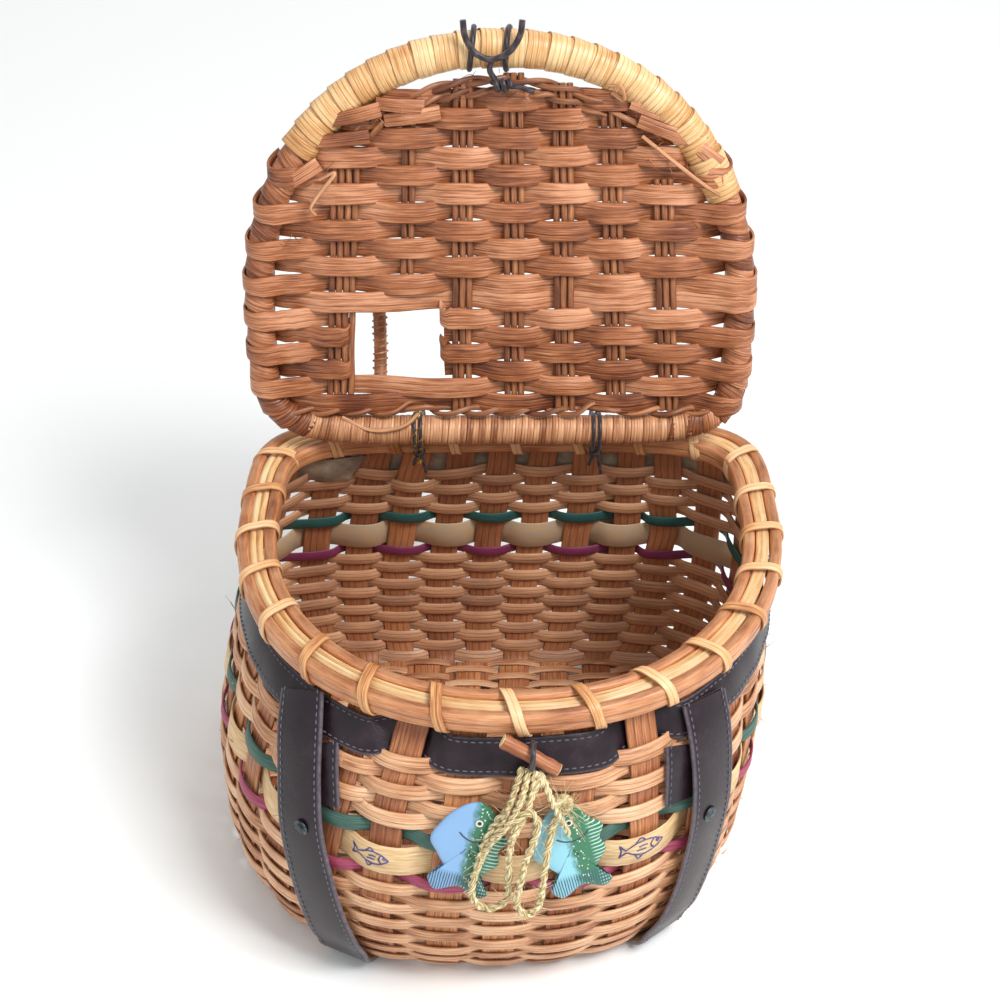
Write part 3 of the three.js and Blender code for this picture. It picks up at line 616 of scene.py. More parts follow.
def split_reed(name, dark, middle, light, roughness, strips, width, under=None):
    """Split and soaked rattan or palm reed. Its face is fibrous along its length, grooved where
    it is split into strips, blotched by age, and low in gloss with a glint on its ridges."""
    made = Finish(name, middle, roughness)
    along, across, tint, face = made.stored("along", "across", "tint", "face")
    own = made.times(tint, 91.0)
    # fibres 0.35 mm wide and about 14 mm long
    fibres = made.noise(
        made.place(made.times(along, 70.0), made.times(across, width / 0.7), own), 1.0, 4.0, 0.6,
    )
    # blotches of age, about 15 mm long
    blotches = made.noise(made.place(made.times(along, 65.0), made.times(across, 0.8), own), 0.5)
    # grooves between the strips that lie side by side
    lanes = made.times(across, float(strips))
    if strips % 2:
        lanes = made.maths("ADD", lanes, 0.5)
    groove = made.ramp(made.maths("PINGPONG", lanes, 0.5), (0.0, 0.25), (0.16, 1.0))
    mixed = made.weighed((fibres, 0.75), (blotches, 0.55), (made.off(tint, 0.5), 0.34))
    colour = made.ramp(mixed, (0.44, dark), (0.64, middle), (0.84, light))
    if under:
        # painted shade: the inner face, which lies inside the basket, is blended towards the darker
        # under colour
        inside = made.times(made.maths("LESS_THAN", face, 0.0), 0.75)
        colour = made.blend(inside, colour, made.ramp(mixed, (0.44, under), (0.84, middle)))
    colour = made.blend(0.5, colour, groove, "MULTIPLY")
    height = made.maths("ADD", made.times(fibres, 0.6), groove)
    shine = made.ramp(fibres, (0.3, roughness + 0.15), (0.7, roughness - 0.08))
    return made.done(colour, (height, 0.45, 0.0006), shine)


def dyed_strip(name, dark, middle, light, under):
    """Dyed flat splint. The dye is even, thinner on the ridges, and another shade behind."""
    made = Finish(name, middle, 0.55)
    along, across, face = made.stored("along", "across", "face")
    fibres = made.noise(made.place(made.times(along, 80.0), made.times(across, 14.0)), 1.0, 5.0)
    colour = made.ramp(fibres, (0.3, dark), (0.52, middle), (0.72, light))
    inside = made.maths("LESS_THAN", face, 0.0)
    colour = made.blend(inside, colour, made.ramp(fibres, (0.3, dark), (0.6, under)))
    return made.done(colour, (fibres, 0.25, 0.0004))


def grained_leather(name, dark, middle, light, flesh):
    """Chrome-tanned cowhide, embossed and waxed: pebbled, softly shiny with a blue-grey bloom,
    scuffed pale along its edges, and matt and fibrous on the flesh side."""
    made = Finish(name, middle, 0.42)
    across, face = made.stored("across", "face")
    place = made.own_place()
    # pebbles 0.9 mm across
    pebbles = made.cells(place, 1100.0)
    clouds = made.noise(place, 70.0, 5.0, 0.65)
    scratches = made.noise(place, 420.0, 3.0)
    colour = made.ramp(clouds, (0.3, dark), (0.52, middle), (0.75, light))
    edge = made.ramp(made.maths("ABSOLUTE", across), (0.44, 0.0), (0.5, 0.8))
    colour = made.blend(made.times(edge, scratches), colour, "#8A8290")
    inside = made.maths("LESS_THAN", face, -0.3)
    colour = made.blend(inside, colour, made.ramp(clouds, (0.3, "#6B5D50"), (0.7, flesh)))
    height = made.weighed((pebbles, 0.5), (clouds, 1.2))
    rough = made.maths("ADD", made.weighed((clouds, 0.3), (inside, 0.35)), 0.2)
    return made.done(colour, (height, 0.3, 0.0005), rough, {"Specular IOR Level": 0.4})


def twisted_fibre(name, dark, middle, light, roughness, twist=260.0, fuzz=0.3):
    """Spun plant fibre or plaited cord: slanting plies with dark valleys and pale hairs."""
    made = Finish(name, middle, roughness)
    along, across, face, tint = made.stored("along", "across", "face", "tint")
    slant = made.weighed((along, twist), (across, 1.2), (face, 1.2))
    ply = made.maths("PINGPONG", slant, 0.5)
    hairs_on_it = made.noise(made.place(made.times(slant, 5.0), tint), 1.5, 4.0)
    mixed = made.weighed((ply, 1.0), (hairs_on_it, 0.6), (made.off(tint, 0.5), 0.3))
    colour = made.ramp(mixed, (0.2, dark), (0.5, middle), (0.85, light))
    return made.done(colour, (mixed, 0.5, 0.0005), constants={"Sheen Weight": fuzz})


def speckled(name, middle, roughness, scale, detail, dark, light, shine=(), metal=0.0):
    """A plain stuff with fine specks: cut wood with its pores, faded ink, or rubbed metal."""
    made = Finish(name, middle, roughness)
    specks = made.noise(made.own_place(), scale, detail)
    rough = made.ramp(specks, *shine) if shine else None
    return made.done(made.ramp(specks, dark, light), None, rough, {"Metallic": metal})


def bright_wire(name, middle, roughness):
    """Thin metal wire with a clean shine."""
    return Finish(name, middle, roughness).done(constants={"Metallic": 1.0})


def painted_wood(name, back, belly):
    """Carved softwood painted by hand: two colours that meet along the middle, brushed spots,
    a ringed eye and a thin varnish."""
    made = Finish(name, back, 0.35)
    uv = made.node("ShaderNodeUVMap", uv_map="fish").outputs["UV"]
    place = made.node("ShaderNodeSeparateXYZ", {"Vector": uv})
    across, along = place.outputs["X"], place.outputs["Y"]
    brush = made.noise(uv, 14.0, 4.0)
    edge = made.maths("ADD", across, made.times(made.off(brush, 0.5), 0.18))
    colour = made.ramp(edge, (0.44, belly), (0.54, back))
    near = made.maths("ABSOLUTE", made.off(across, 0.6))
    spot = made.times(
        made.ramp(made.cells(uv, 26.0), (0.2, 1.0), (0.3, 0.0)),
        made.ramp(near, (0.04, 1.0), (0.1, 0.0)),
    )
    colour = made.blend(spot, colour, "#E9F2E4")
    rays = made.maths("PINGPONG", made.times(along, 26.0), 0.5)
    fin = made.times(
        made.ramp(across, (0.74, 0.0), (0.8, 0.9)), made.ramp(rays, (0.1, 1.0), (0.2, 0.0)),
    )
    colour = made.blend(fin, colour, "#BFE3D8")
    streaks = made.node("ShaderNodeTexWave", {
        "Vector": uv, "Scale": 9.0, "Distortion": 2.0, "Detail": 2.0,
    }).outputs["Fac"]
    tail = made.ramp(along, (0.2, 1.0), (0.26, 0.0))
    colour = made.blend(made.times(tail, streaks), colour, "#1D4A5C")
    eye_off = made.vector("SUBTRACT", uv, (0.56, 0.8, 0.0)).outputs[0]
    eye_off = made.vector("MULTIPLY", eye_off, (0.7, 1.0, 0.0)).outputs[0]
    eye = made.vector("LENGTH", eye_off).outputs["Value"]
    gill = made.ramp(made.maths("ABSOLUTE", made.off(eye, 0.2)), (0.006, 1.0), (0.011, 0.0))
    gill = made.times(gill, made.maths("LESS_THAN", along, 0.67))
    colour = made.blend(gill, colour, "#16323A")
    colour = made.blend(made.ramp(eye, (0.03, 1.0), (0.036, 0.0)), colour, "#F2EFD8")
    colour = made.blend(made.ramp(eye, (0.018, 1.0), (0.023, 0.0)), colour, "#141414")
    return made.done(colour, (brush, 0.2, 0.0005), constants={"Coat Weight": 0.3})


# Each finish by name: how it is made and its colours, dark to light. A word for a colour is a
# property of the panel. For split reeds the numbers are the roughness, how many strips lie side
# by side, and the width in millimetres; a last colour, where given, is painted shade on the
# reed's inner face.
FINISHES = {
    # pale split palm with dark grooves, and painted shade on its inner face
    "palm_weaver_reed": (split_reed, "#925838", "weaver", "#F0C49C", 0.5, 3, 7.0, "#A07A62"),
    # broad, flat, red-brown reed, with painted shade on its inner face
    "split_stake_reed": (split_reed, "#7E3F20", "stake", "#D9955F", 0.5, 4, 16, "#8A5638"),
    # wide reed of a deeper, glossier brown
    "lid_weaver_reed": (split_reed, "#64301A", "lid_weaver", "#DA9C76", 0.38, 3, 10.8),
    # thin round reed, weathered dark
    "lid_spoke_reed": (split_reed, "#5E3220", "#955C3A", "#C08458", 0.45, 1, 3.6),
    # thick bent reed, warm brown and handled smooth
    "rim_hoop_reed": (split_reed, "#84482A", "#C28054", "#DFA678", 0.42, 2, 13),
    # peeled cane, the palest of all
    "peeled_filler_cane": (split_reed, "#CC965C", "#EBBD84", "#F6D8A8", 0.4, 1, 6),
    # honey-coloured cane with a hard, shiny skin
    "lashing_cane": (split_reed, "#AE6C3C", "#E2A970", "#F3C797", 0.38, 2, 6),
    # the same cane, wider and ribbed, on the lid's arch
    "arch_binding_cane": (split_reed, "#9A5C2C", "#D6A066", "#F0CB96", 0.36, 5, 14),
    # narrow, duller cane, close-wound on the lid's bar
    "bar_binding_cane": (split_reed, "#7F4A28", "#BC8159", "#E2AD80", 0.42, 2, 4),
    # thin willow bark: red-brown, streaked along the twig, with pale scars
    "willow_bark": (split_reed, "#6E3B22", "#A05F3C", "#C98F68", 0.65, 1, 7),
    # grey-green, bare tan and wine-red splint
    "green_splint": (dyed_strip, "#23403A", "#3C5F55", "#567A6A", "#1E5E5C"),
    "tan_splint": (dyed_strip, "#C49A68", "#DDB988", "#EFD3A8", "#AE9C86"),
    "magenta_splint": (dyed_strip, "#6E1F3E", "#A33C5C", "#C0607A", "#7A2F55"),
    # near-black hide with a violet bloom
    "waxed_cowhide": (grained_leather, "#1C1218", "leather", "#35262F", "#B8A68E"),
    # grey waxed thread, straw-coloured jute and a black plaited thong
    "saddle_thread": (twisted_fibre, "#4A4454", "#7A7486", "#A8A2B4", 0.6, 900.0),
    "jute_twist": (twisted_fibre, "#7C6136", "#C9B27A", "#F0E6C0", 0.85),
    "black_thong": (twisted_fibre, "#120D10", "#2A2024", "#4A4048", 0.45, 150.0, 0.1),
    # pale gold wire
    "tinsel_wire": (bright_wire, "#D8B860", 0.3),
    # blackened steel: dark, with a soft metal shine and brighter where it was rubbed
    "blackened_steel": (
        speckled, "#3A4144", 0.35, 400.0, 4.0, (0.35, "#2A3033"), (0.65, "#5C666A"),
        ((0.3, 0.5), (0.7, 0.28)), 0.85,
    ),
    # the twig's cut: straw-yellow with fine pores
    "willow_end_grain": (speckled, "#F0DC9C", 0.7, 900.0, 3.0, (0.35, "#D9BC74"), (0.6, "#F6E7B4")),
    # blue-violet ink, faded in places
    "doodle_ink": (speckled, "#3A3A68", 0.6, 500.0, 2.0, (0.3, "#2E2E60"), (0.7, "#66649A")),
    # leaf-green or sea-green back over a sky-blue belly
    "green_fish_paint": (painted_wood, "#2A7350", "#8CCBDC"),
    "blue_fish_paint": (painted_wood, "#2F7355", "#84AEDA"),
}


def finish_of(name):
    """The named finish, made on its first use."""
    if name in bpy.data.materials:
        return bpy.data.materials[name]
    make, *values = FINISHES[name]
    colours = bpy.context.scene.creel_colours
    values = [to_hex(getattr(colours, v)) if v in PANEL_COLOURS else v for v in values]
    return make(name, *values)


def to_hex(colour):
    """An sRGB hex value from a colour property, whose numbers are sRGB."""
    return "#" + "".join(f"{round(255 * c):02X}" for c in colour[:3])


def hex_triple(colour):
    return tuple(int(colour[i:i + 2], 16) / 255 for i in (1, 3, 5))


# Lengths of the panel in metres: name, default, least and description
PANEL_LENGTHS = (
    ("stake_width", 0.016, 0.004, "Width of the flat upright reeds of the wall"),
    ("stake_thickness", 0.0015, 0.0005, "Thickness of the upright reeds"),
    ("weaver_thickness", 0.0012, 0.0004, "Thickness of the reeds woven round the wall"),
    ("lid_weaver_width", 0.0113, 0.003, "Width of the reeds woven across the lid"),
    ("lid_row_pitch", 0.0097, 0.003, "Distance between the middles of the lid's rows"),
    ("stitch_pitch", 0.0036, 0.0015, "Distance between the stitches in the leather"),
    ("twine_diameter", 0.004, 0.001, "Diameter of the jute twine that holds the charms"),
)
# Colours of the panel: default and description
PANEL_COLOURS = {
    "weaver": ("#D39A70", "Middle colour of the reeds woven round the wall"),
    "stake": ("#AC6D47", "Middle colour of the upright reeds"),
    "lid_weaver": ("#A9673F", "Middle colour of the lid's reeds"),
    "leather": ("#23171E", "Middle colour of the harness leather"),
}


def shown(name):
    """A property's name as the panel shows it."""
    return name.replace("_", " ").capitalize()


class CreelSizes(bpy.types.PropertyGroup):
    """Lengths and a count that the panel can change"""

    __annotations__ = {
        name: FloatProperty(
            name=shown(name), description=about, default=size, min=least, unit="LENGTH",
        )
        for name, size, least, about in PANEL_LENGTHS
    }
    __annotations__["lash_count"] = IntProperty(
        name="Rim lashings", description="Number of cane lashings round the rim",
        default=24, min=4, max=60,
    )


class CreelColours(bpy.types.PropertyGroup):
    """Middle colours of the finishes that the panel can change"""

    __annotations__ = {
        name: FloatVectorProperty(
            name=shown(name) + " colour", description=about, default=hex_triple(colour),
            min=0, max=1, subtype="COLOR_GAMMA",
        )
        for name, (colour, about) in PANEL_COLOURS.items()
    }


class CREEL_OT_view(bpy.types.Operator):
    """Sets up the camera in front of and above the basket"""

    bl_idname = "creel.view"
    bl_label = "Set up camera"

    # worked out from the perspective of the rim and the lid in the photo
    PLACE, TILT, LENS = (-4.9, -730.3, 713.2), math.radians(54), 62.1

    def execute(self, context):
        camera = bpy.data.cameras.new("camera")
        camera.sensor_width = 36.0
        camera.lens = self.LENS
        camera.clip_start = 0.01
        made = bpy.data.objects.new("camera", camera)
        context.scene.collection.objects.link(made)
        made.location = Vector((np.array(self.PLACE) + ORIGIN) * MM)
        made.rotation_euler = (self.TILT, 0, 0)
        context.scene.camera = made
        return {"FINISHED"}


def front_point(x, height, room):
    """A point in front of the wall and the way that the wall faces there."""
    turn = turn_at(x, height, room)
    return wall_point(turn, height, room), wall_normal(np.array(turn), height)


def twine_path():
    """The twine's middle line, from under the toggle to its knot."""
    return smooth_path([front_point(*row)[0] for row in TWINE_ROUTE], 2.0)


def helix_round(path, radius, turns, start):
    """A line wound round a path."""
    carrier = round_strand(path)
    side = np.cross(tangents(path), carrier["lay"])
    spin = start + math.tau * turns * np.linspace(0, 1, len(path))
    return path + radius * (np.cos(spin)[:, None] * carrier["lay"] + np.sin(spin)[:, None] * side)


def hairs(anchors, spread, length, count, seed, bend=0.6):
    """Loose fibres that leave the given points in directions near the given ones."""
    rng = np.random.default_rng(seed)
    made = []
    for _ in range(count):
        k = rng.integers(len(anchors))
        point, heading = anchors[k]
        heading = unit(np.asarray(heading) + rng.normal(0, spread, 3))
        size = length * rng.uniform(0.4, 1.0)
        curl = unit(rng.normal(0, 1, 3)) * size * bend
        t = np.linspace(0, 1, 6)[:, None]
        made.append(round_strand(
            point + heading * size * t + curl * t ** 2, np.linspace(1, 0.4, 6), rng.random(),
        ))
    return made


class CREEL_OT_twine(bpy.types.Operator):
    """Hangs the two-ply jute twine, with its frayed knot, from the toggle"""

    bl_idname = "creel.twine"
    bl_label = "Hang twine"

    JUTE = ("jute_twist", "basket", "twine")
    # strands that fray away from the bundle under the toggle: x, height and room
    LOOSE = [
        [(5, 156, 17), (3, 150, 17.5), (0, 142, 17), (-4, 132, 16.5), (-9, 122, 15.5),
         (-14, 112, 13)],
        [(8, 156, 18.5), (6, 148, 19.5), (2, 139, 19.5), (-4, 129, 18), (-10, 120, 15),
         (-14, 109, 12.6)],
        [(11, 155, 18), (10, 147, 18), (7, 138, 18), (3, 129, 17), (0, 120, 15.5),
         (-1, 110, 13.5)],
        [(13, 154, 17), (16, 148, 17), (19, 141, 16.5), (22, 134, 15.5), (25, 127, 14),
         (27, 122, 13)],
    ]

    # a fish in shares of its length and width, from its nose round to it again
    OUTLINE = [
        (0.5, 0.02), (0.42, 0.2), (0.26, 0.34), (0.16, 0.48), (0.04, 0.4), (-0.1, 0.44),
        (-0.22, 0.3), (-0.34, 0.2), (-0.44, 0.42), (-0.5, 0.3), (-0.42, 0.02), (-0.5, -0.28),
        (-0.38, -0.4), (-0.3, -0.2), (-0.12, -0.36), (0.02, -0.5), (0.2, -0.42), (0.36, -0.28),
        (0.46, -0.12),
    ]
    LENGTH, WIDTH = 52.0, 36.0
    # x and height of each charm's middle, and its tilt in degrees
    PLACES = {"left": (-20, 111, -14), "right": (28, 109, 14)}

    def execute(self, context):
        sizes = context.scene.creel_sizes
        path = twine_path()
        length = np.linalg.norm(np.diff(path, axis=0), axis=1).sum()
        half = sizes.twine_diameter / MM / 2
        fine = smooth_path(path, 0.9)
        # the two plies turn once in 11 mm
        turns = length / 11
        plies = [
            round_strand(helix_round(fine, 0.48 * half, turns, start), tint=tint)
            for start, tint in ((0, 0.35), (math.pi, 0.65))
        ]
        twine = reeds(
            "jute_twine_plies", plies, *self.JUTE, ["jute_twine"], width=1.04 * half, corner=2,
        )
        anchors = [(path[i], tangents(path)[i]) for i in range(2, len(path) - 2, 2)]
        fuzz = hairs(anchors, 0.9, 7, 260, 5)
        knot = path[-1] + (0, -0.5, -1)
        ball = []
        for k in range(3):
            spin = np.linspace(0, math.tau, 15)[:-1] + k
            ring = xyz(3.2 * np.cos(spin), 1.6 * np.sin(spin + k), 3.2 * np.sin(spin))
            ball.append(round_strand(knot + ring, tint=0.3 + 0.2 * k, closed=True))
        knotted = reeds("jute_knot", ball, *self.JUTE, width=1.6 * half, corner=2)
        loose = []
        for k, route in enumerate(self.LOOSE):
            run = smooth_path([front_point(*row)[0] for row in route], 0.9)
            for start in (0, math.pi):
                spun = helix_round(run, 0.85, len(run) / 9, start + k)
                loose.append(round_strand(spun, np.linspace(1, 0.75, len(run)), 0.3 + 0.2 * k))
        strands = reeds("jute_loose_strands", loose, *self.JUTE, width=1.9, corner=2)
        ways = ((-0.6, -0.8), (0.5, -0.9), (0.9, 0.1), (-0.2, 1))
        frays = [(knot, (dx, -0.3, dz)) for dx, dz in ways]
        fuzz += hairs(frays, 0.5, 13, 90, 9, 0.9)
        frayed = reeds("jute_hairs", fuzz, *self.JUTE, width=0.35)
        charms = [self.charm("left", "blue_fish_paint"), self.charm("right", "green_fish_paint")]
        return {"FINISHED"}

    def charm(self, side, paint):
        """A carved wooden fish, nose up, rounded off towards its edge."""
        x, up, tilt = self.PLACES[side]
        # its back is just in front of the strips
        room = SKIN + 2.15
        top = front_point(x, up + self.LENGTH / 2, room)[0]
        foot = front_point(x, up - self.LENGTH / 2, room)[0]
        middle, away = front_point(x, up, room)
        away = unit(away * (1, 1, 0))
        rise = unit(top - foot)
        across = unit(np.cross(rise, away))
        face = np.cross(across, rise)
        c, s = math.cos(math.radians(tilt)), math.sin(math.radians(tilt))
        across, rise = across * c + rise * s, rise * c - across * s
        flat = np.array([(a * self.WIDTH, b * self.LENGTH) for b, a in self.OUTLINE])
        edge = smooth_path(np.vstack([flat, flat[:1]]), 1.1)[:-1]
        # shrinking rings from the back's edge round to a low crown in front
        shells = [
            (0.97, 0.0), (1.0, 0.5), (1.0, 1.6), (0.96, 2.3), (0.86, 2.75), (0.6, 3.0), (0.25, 3.1),
        ]
        centre = np.array([0.0, 2.0])
        rings = [centre + (edge - centre) * share for share, _ in shells]
        points, uvs = [], []
        for ring, (_, lift) in zip(rings, shells):
            for a, b in ring:
                points.append(middle + across * a + rise * b + face * lift)
                uvs.append((a / self.WIDTH + 0.5, b / self.LENGTH + 0.5))
        hubs = [middle + rise * centre[1] + face * shells[r][1] for r in (0, -1)]
        uvs += [(0.5, centre[1] / self.LENGTH + 0.5)] * 2
        mesh = skin(f"fish_charm_{side}_carved", points, len(edge), hubs, paint)
        layer = mesh.uv_layers.new(name="fish")
        for loop in mesh.loops:
            layer.data[loop.index].uv = uvs[loop.vertex_index]
        return settle(mesh.name, mesh, "basket", ["fish_charm_" + side])


def skin(name, points, count, hubs, finish):
    """A closed mesh over rings of count points, from one hub to the other."""
    top = len(points) - count
    faces = []
    for low in range(0, top, count):
        for k in range(count):
            after = (k + 1) % count
            faces.append((low + k, low + after, low + count + after, low + count + k))
    for k in range(count):
        after = (k + 1) % count
        faces += [(len(points), after, k), (len(points) + 1, top + k, top + after)]
    mesh = bpy.data.meshes.new(name)
    mesh.from_pydata([tuple((p + ORIGIN) * MM) for p in (*points, *hubs)], [], faces)
    mesh.shade_smooth()
    outward(mesh)
    mesh.materials.append(finish_of(finish))
    return mesh


def outward(mesh):
    """Turns the faces of a closed mesh so that they point outwards."""
    volume = 0.0
    centre = sum((v.co for v in mesh.vertices), Vector()) / len(mesh.vertices)
    for polygon in mesh.polygons:
        volume += (polygon.center - centre).dot(polygon.normal) * polygon.area
    if volume < 0:
        mesh.flip_normals()


class CREEL_OT_stakes(bpy.types.Operator):
    """Stands the flat upright reeds round the wall and turns them in under the floor"""

    bl_idname = "creel.stakes"
    bl_label = "Stand stakes"

    def execute(self, context):
        sizes = context.scene.creel_sizes
        strands = []
        rng = np.random.default_rng(3)
        # from just over the rim's middle to where the stake turns in
        heights = np.linspace(174, 8, 34)
        for k, turn in enumerate(STAKES):
            lean = drift(len(heights), 0.006, 40 + k)
            points = wall_point(turn + lean, heights, 0.0)
            lay = wall_normal(turn + lean, heights)
            inward = -wall_normal(np.array([turn]), 6.0, upright=True)[0]
            foot = points[-1] + inward * 2 + (0, 0, -3.4)
            under = [foot + inward * step for step in (0, 4, 12, 24)]
            points = np.vstack([points, np.array(under) * (1, 1, 0) + (0, 0, 4.4)])
            down = np.array([[0, 0, -1.0]])
            lay = np.vstack([lay, unit(down - inward), np.repeat(down, 3, 0)])
            strands.append(strand(points, lay, 1.0, rng.uniform(0.2, 0.8)))
        reeds(
            "wall_stakes", strands, "split_stake_reed", "basket", "weave",
            ["woven_wall"], width=sizes.stake_width / MM, thick=sizes.stake_thickness / MM,
        )
        return {"FINISHED"}


# Behind, under the rim, the weaving is torn and hangs: the place and its half width along x.
# On the right it is loose and lets light through: the place and half width along y, how far up,
# and how much narrower the reeds are.
TORN_X, TORN_REACH = -52, 20
LOOSE_Y, LOOSE_REACH, LOOSE_TOP, LOOSE_SHARE = 8, 40, 90, 0.42


def row_line(height, outside_odd, reach, bow, seed, wander, samples=8, force=None):
    """The line of one row of weaving, which passes each stake outside or inside by reach and
    bows out between. force gives, for each stake, 1 outside or -1 inside."""
    count = STAKE_COUNT * samples
    place = np.arange(count) / samples
    stake = np.floor(place).astype(int)
    u = place - stake
    side = np.array([1 if (k % 2 == 1) == bool(outside_odd) else -1 for k in range(STAKE_COUNT)])
    if force is not None:
        side = np.array(force)
    here, after = side[stake], side[(stake + 1) % STAKE_COUNT]
    ease = np.clip(0.5 - 0.72 * np.cos(math.pi * u), 0, 1)
    ease = ease * ease * (3 - 2 * ease)
    level = here * (1 - ease) + after * ease
    swell = np.where(u < 0.5, here, after) * np.cos(math.pi * u) ** 2
    out = reach * level + bow * swell
    turn = turn_of(place)
    z = height + drift(count, wander, seed, 9, True)
    if height > 118:
        x, y = wall_point(turn, z, out)[:, :2].T
        torn = np.exp(-((x - TORN_X) / TORN_REACH) ** 2) * (y > 50)
        z = z - torn * (5.5 if height > 136 else 2.0)
    base = wall_point(turn, z, out)
    girth = 1 + drift(count, 0.05, seed + 500, 12, True)
    if height < LOOSE_TOP:
        loose = np.exp(-((base[:, 1] - LOOSE_Y) / LOOSE_REACH) ** 4) * (base[:, 0] > 60)
        girth = girth - LOOSE_SHARE * loose
    return strand(base, wall_normal(turn, z), girth, closed=True)


def tinted(line, seed):
    """Gives a row a shade of its own."""
    line["tint"] = np.random.default_rng(seed).uniform(0.15, 0.85)
    return line


class CREEL_OT_weave(bpy.types.Operator):
    """Weaves the rows of the wall and the floor"""

    bl_idname = "creel.weave"
    bl_label = "Weave wall and floor"

    def execute(self, context):
        sizes = context.scene.creel_sizes
        thick = sizes.weaver_thickness / MM
        weaver = "palm_weaver_reed"
        for name, rows, reach, bow, seed, wander, width in (
            ("wall_rows_loose", LOOSE_ROWS, 1.35, 1.0, 10, 0.8, 7.9),
            ("wall_rows_tight", TIGHT_ROWS, 1.25, 0.6, 30, 0.4, 7.6),
        ):
            lines = [
                tinted(row_line(height, odd, reach, bow, seed + k, wander), seed + 50 + k)
                for k, (height, odd) in enumerate(rows)
            ]
            reeds(name, lines, weaver, "basket", "weave", width=width, thick=thick)
        self.floor(weaver, sizes)
        self.fibres(weaver)
        return {"FINISHED"}

    def floor(self, weaver, sizes):
        """The floor: reeds from side to side woven over stakes from front to back."""
        middle, spacing, pitch = 4.9, 26.0, 6.4
        rim = wall_point(np.linspace(0, math.tau, 720), 5.0, -3.0)
        stakes_at = np.arange(-128, 104, spacing)
        base = []
        for k, x in enumerate(stakes_at):
            near = np.abs(rim[:, 0] - x) < 2
            if not near.any():
                continue
            y = np.linspace(rim[near, 1].min(), rim[near, 1].max(), 40)
            points = xyz(x + drift(40, 0.5, k), y, middle)
            base.append(strand(points, (0, 0, 1), 1.0, 0.3 + 0.05 * (k % 7)))
        reeds(
            "floor_stakes", base, "split_stake_reed", "basket", "weave",
            width=sizes.stake_width / MM, thick=1.3,
        )
        rows = []
        for k, y in enumerate(np.arange(-145, 78, pitch)):
            near = np.abs(rim[:, 1] - y) < 2
            if not near.any():
                continue
            x = np.arange(rim[near, 0].min(), rim[near, 0].max(), 3.2)
            wave = np.cos(math.pi * (x - stakes_at[0]) / spacing) * (1 if k % 2 else -1)
            z = middle + 1.5 * np.clip(1.4 * wave, -1, 1)
            points = xyz(x, y + drift(len(x), 0.4, k), z)
            rows.append(strand(points, (0, 0, 1), 1.0, np.random.default_rng(k).uniform(0.2, 0.8)))
        reeds("floor_rows", rows, weaver, "basket", "weave", width=5.4, thick=1.1)

    def fibres(self, weaver):
        """Fine fibres that have lifted from the rows."""
        rng = np.random.default_rng(21)
        anchors = []
        for _ in range(90):
            turn = turn_of(rng.uniform(0, STAKE_COUNT))
            height = rng.choice([144, 138, 131, 124, 117, 96, 70, 50, 30]) + rng.uniform(-2, 2)
            point = wall_point(turn, height, 3.2)
            side = np.cross(wall_normal(turn, height), [0, 0, 1]) * rng.choice([-1, 1])
            anchors.append((point, side * 2.5 + wall_normal(turn, height)))
        reeds(
            "wall_fibres", hairs(anchors, 0.3, 9, 110, 4, 0.5), weaver, "basket", "weave",
            width=0.4, thick=0.3,
        )


class CREEL_OT_strips(bpy.types.Operator):
    """Weaves the green, tan and magenta strips and draws the small fish on the tan one"""

    bl_idname = "creel.strips"
    bl_label = "Weave coloured strips"

    # an outline of a small fish, in shares of its length, and its fins and eye
    FISH = [
        [(0.5, 0.0), (0.3, 0.17), (0.0, 0.22), (-0.25, 0.1), (-0.34, 0.03), (-0.5, 0.2),
         (-0.45, 0.0), (-0.5, -0.18), (-0.34, -0.04), (-0.2, -0.12), (0.05, -0.2), (0.32, -0.14),
         (0.5, 0.0)],
        [(0.1, 0.21), (0.0, 0.34), (-0.14, 0.17)],
        [(0.04, -0.2), (-0.06, -0.32), (-0.14, -0.14)],
        [(0.3, 0.17), (0.22, 0.0), (0.3, -0.14)],
        [(0.42, 0.05), (0.38, 0.09), (0.34, 0.05), (0.38, 0.01), (0.42, 0.05)],
        [(0.15, 0.06), (0.05, 0.08), (-0.05, 0.05)],
        [(0.12, -0.05), (0.02, -0.04), (-0.1, -0.06)],
    ]

    def execute(self, context):
        for k, (node, (height, width, odd)) in enumerate(STRIP_ROWS.items()):
            narrow = width < 10
            reach, wander = (1.9, 0.5) if narrow else (1.8, 0.3)
            line = row_line(height, odd, reach, 1.4, 110 + k, wander)
            colour = node.split("_")[0]
            reeds(
                node + "_woven", [line], colour + "_splint", "basket", "strip_" + colour, [node],
                width=width, thick=1.1,
            )
        self.doodles()
        return {"FINISHED"}

    def doodles(self):
        """Two small fish drawn in ink on the tan strip's front."""
        height, _, odd = STRIP_ROWS["tan_strip"]
        line = row_line(height, odd, 1.8, 1.4, 111, 0.3)
        drawn = []
        for x, size, lift in ((-66, 17, 0.0), (62, 21, 1.0)):
            for part in self.FISH:
                part = smooth_path(np.array(part), 0.08) * size
                points, lay = [], []
                for a, b in part:
                    # the nearest point on the strip's front, then the place beside it
                    gap = np.abs(line["points"][:, 0] - (x + a)) + 500 * (line["points"][:, 1] > 0)
                    near = np.argmin(gap)
                    ahead = (near + 1) % len(line["points"])
                    here, there = line["points"][near], line["points"][ahead]
                    if there[0] < x + a:
                        here, there = there, here
                        near = ahead
                    t = np.clip((x + a - here[0]) / ((there[0] - here[0]) or 1), -1, 1)
                    facing = line["lay"][near]
                    up = unit(np.cross(tangents(line["points"], True)[near], facing)) * -1
                    up = up * np.sign(up[2])
                    points.append(here + (there - here) * t + up * (b + lift) + facing * 0.66)
                    lay.append(facing)
                drawn.append(strand(np.array(points), np.array(lay), 1.0, 0.5))
        reeds(
            "strip_drawings", drawn, "doodle_ink", "basket", "strip_tan",
            width=0.85, thick=0.12, rounding=0.5,
        )


